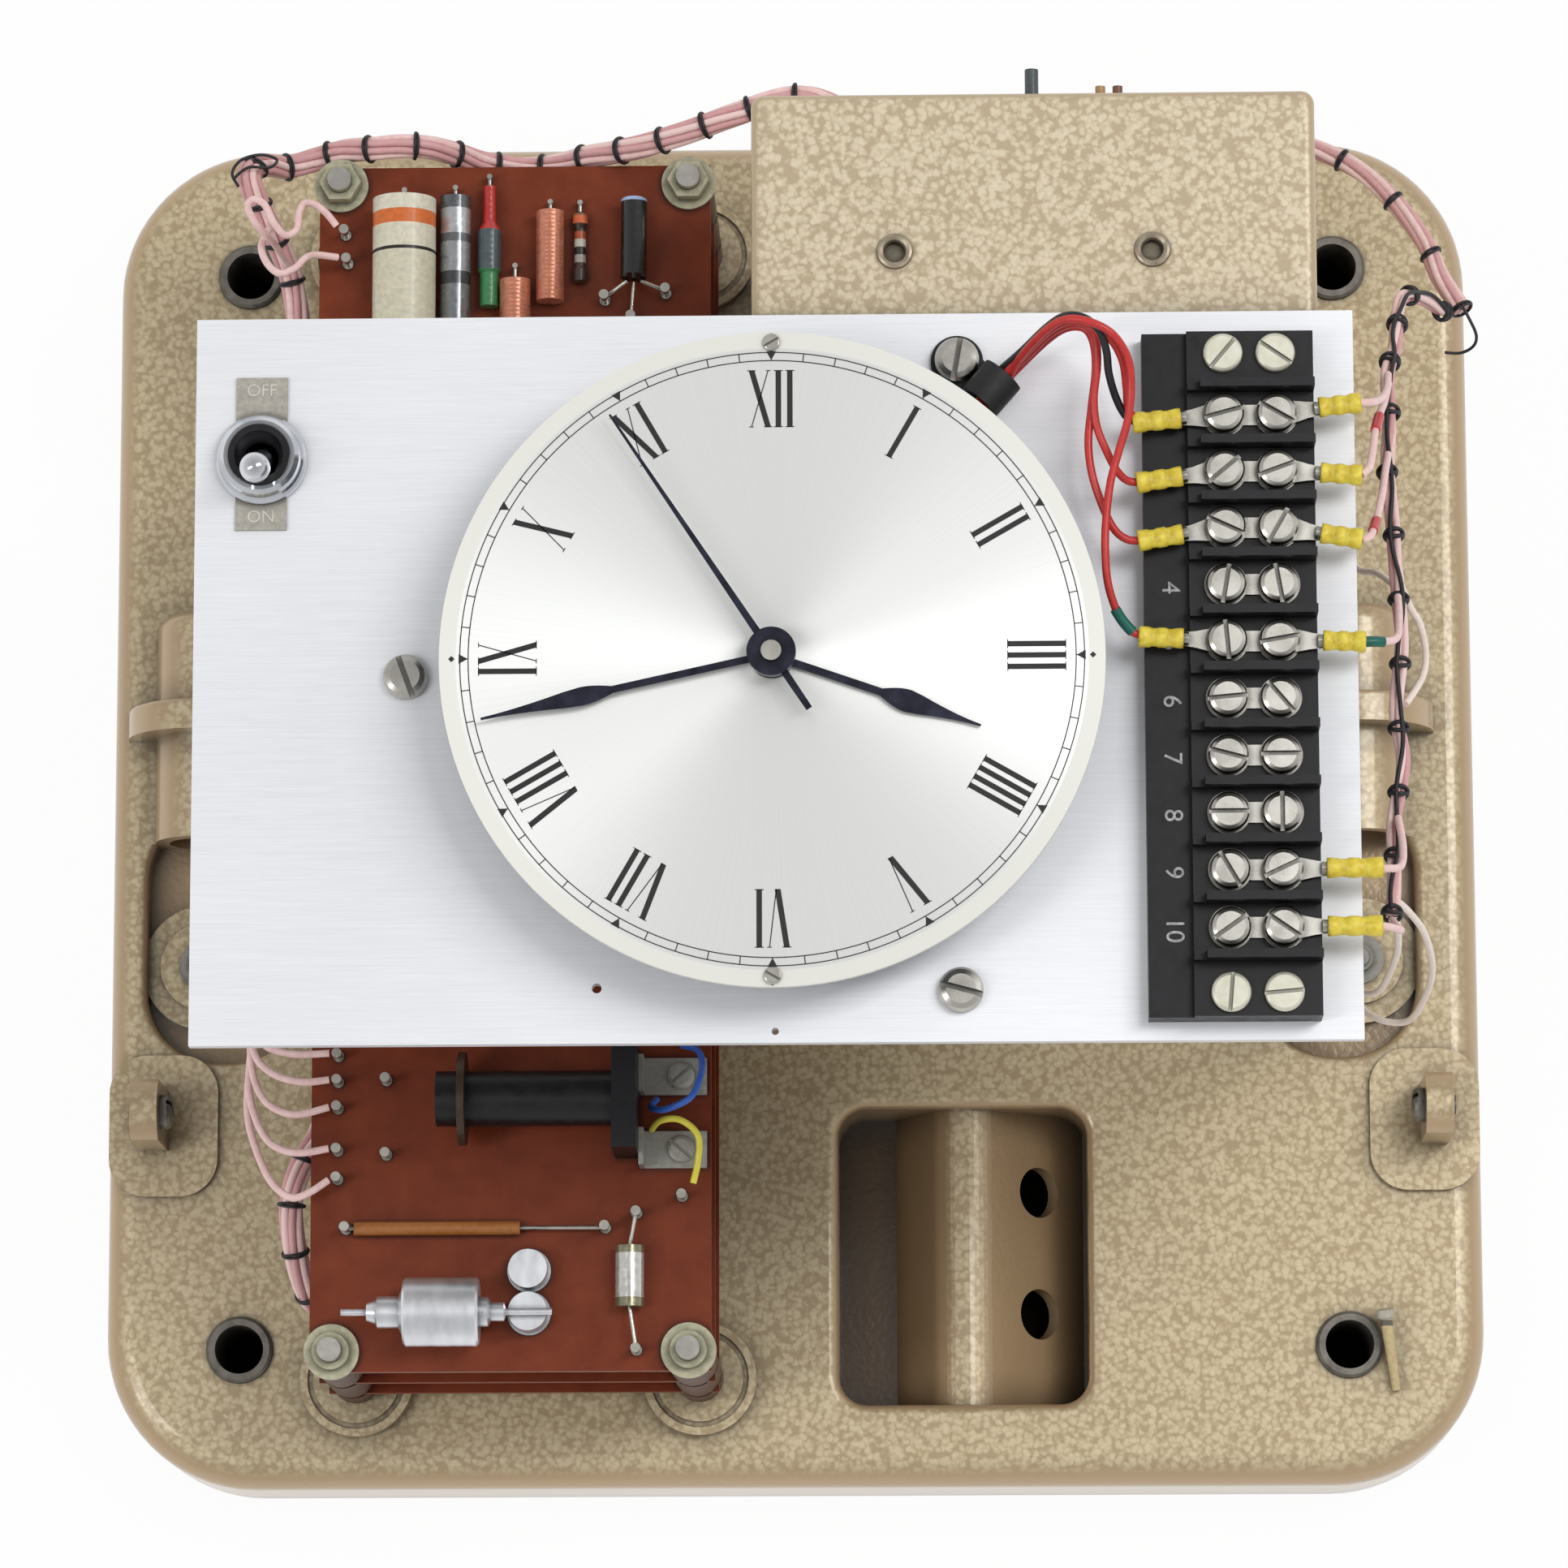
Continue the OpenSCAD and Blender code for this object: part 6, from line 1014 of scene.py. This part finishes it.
def stroke(a, b, width):
    """Outline of a straight stroke whose ends lie level."""
    return [(a[0] - width / 2, a[1]), (a[0] + width / 2, a[1]), (b[0] + width / 2, b[1]),
            (b[0] - width / 2, b[1])]


def numeral_strokes(text):
    """Strokes of a Roman numeral that stands on y = 0 and is centred on x = 0."""
    tall = NUMERAL_OUT - NUMERAL_IN
    pitch = 1.95 if text == "IIII" else 2.2
    widths = {"I": pitch, "V": 5.0, "X": 4.9}
    x = -sum(widths[c] for c in text) / 2
    strokes = []
    for letter in text:
        mid = x + widths[letter] / 2
        lean = widths[letter] / 2 - 0.85
        if letter == "I":
            strokes.append(stroke((mid, 0), (mid, tall), THICK))
            for y in (0, tall - SERIF):
                strokes.append(stroke((mid, y), (mid, y + SERIF), THICK + 0.7))
        if letter == "V":
            strokes.append(stroke((mid + 0.1, 0), (mid - lean, tall), THICK * 1.05))
            strokes.append(stroke((mid + 0.35, 0), (mid + lean, tall), THIN))
            for end in (mid - lean, mid + lean):
                strokes.append(stroke((end, tall - SERIF), (end, tall), 1.7 if end < mid else 0.9))
        if letter == "X":
            strokes.append(stroke((mid + lean, 0), (mid - lean, tall), THICK * 1.05))
            strokes.append(stroke((mid - lean, 0), (mid + lean, tall), THIN))
            for y in (0, tall - SERIF):
                strokes.append(stroke((mid - lean, y), (mid - lean, y + SERIF), 1.6 if y else 0.9))
                strokes.append(stroke((mid + lean, y), (mid + lean, y + SERIF), 0.9 if y else 1.6))
        x += widths[letter]
    return strokes


def print_dial():
    """Roman numerals, five-minute triangles and the four small diamonds, in black."""
    target = bmesh.new()
    for hour, text in enumerate(NUMERALS):
        turn = Matrix.Rotation(-math.tau / 12 * hour, 4, "Z")
        up = turn @ Matrix.Translation((0, NUMERAL_IN * MM, 0))
        for outline in numeral_strokes(text):
            stamp(target, outline, DIAL_FACE, DIAL_FACE + PRINT, up)
        stamp(target, [(-0.95, TRACK_OUT + 0.2), (0, TRACK_OUT - 1.5), (0.95, TRACK_OUT + 0.2)],
              DIAL_FACE, DIAL_FACE + PRINT * 1.4, turn)
        if hour % 3 == 0:
            reach = 61.1 if hour in (3, 9) else 62.9
            size = 0.6 if hour in (3, 9) else 0.42
            stamp(target, [(-size, reach), (0, reach - size), (size, reach), (0, reach + size)],
                  DIAL_FACE, DIAL_FACE + PRINT, turn)
    solid_piece("dial_printing", target, EXTRA["dial_ink"], "phenolic_black")


def print_track():
    """The minute track, set on the dial's face."""
    empty = bpy.data.meshes.new("minute_track")
    made = grow("minute_track", empty, track_tree(),
                {"Inner": TRACK_IN * MM, "Outer": TRACK_OUT * MM, "Line": TRACK_LINE * MM,
                 "Print": PRINT * 2, "Finish": EXTRA["dial_ink"]}, "phenolic_black", soft=False)
    made.data.transform(Matrix.Translation((0, 0, DIAL_FACE)))


print_dial()
print_track()


# Figures on the terminal block and the switch plate

def lettering(name, words, finish, slot):
    """Raised words: each with its text, its size, its place in millimetres and its turn in degrees."""
    target = bmesh.new()
    for text, size, place, turn in words:
        curve = bpy.data.curves.new(name, "FONT")
        curve.body = text
        curve.size = size * MM
        curve.extrude = 0.04 * MM
        curve.align_x = "CENTER"
        curve.align_y = "CENTER"
        holder = bpy.data.objects.new(name, curve)
        scene.collection.objects.link(holder)
        mesh = bpy.data.meshes.new_from_object(holder.evaluated_get(bpy.context.evaluated_depsgraph_get()))
        mesh.transform(Matrix.Translation(Vector(place) * MM)
                       @ Matrix.Rotation(math.radians(turn), 4, "Z"))
        target.from_mesh(mesh)
        bpy.data.objects.remove(holder)
    bmesh.ops.remove_doubles(target, verts=target.verts, dist=1e-7)
    bmesh.ops.recalc_face_normals(target, faces=target.faces)
    return solid_piece(name, target, finish, slot)


BLOCK_LOW, BLOCK_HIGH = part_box("terminal_block")
BLOCK_MID = (BLOCK_LOW[1] + BLOCK_HIGH[1]) / 2 / MM
STRIP_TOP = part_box("front_panel")[1][2] / MM + 6.0
ROWS = 10
ROW_PITCH = 11.1
FIGURE_X = 76.3
FIGURE_SIZE = 5.0
PLATE_LOW, PLATE_HIGH = (corner / MM for corner in map(Vector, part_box("switch_plate")))
PLATE_X = (PLATE_LOW.x + PLATE_HIGH.x) / 2
WORD_SIZE = 3.4
WORD_INSET = 2.6


def row_y(row):
    """Place of a terminal row along the block, in millimetres."""
    return BLOCK_MID + ((ROWS - 1) / 2 - row) * ROW_PITCH


lettering("terminal_figures",
          [(str(row + 1), FIGURE_SIZE, (FIGURE_X, row_y(row), STRIP_TOP + 0.02), -90)
           for row in range(ROWS)], EXTRA["figure_paint"], "cream_sleeve")
lettering("switch_words",
          [("OFF", WORD_SIZE, (PLATE_X, PLATE_HIGH.y - WORD_INSET, PLATE_HIGH.z), 0),
           ("ON", WORD_SIZE, (PLATE_X, PLATE_LOW.y + WORD_INSET, PLATE_HIGH.z), 0)],
          EXTRA["etched_words"], "cream_sleeve")
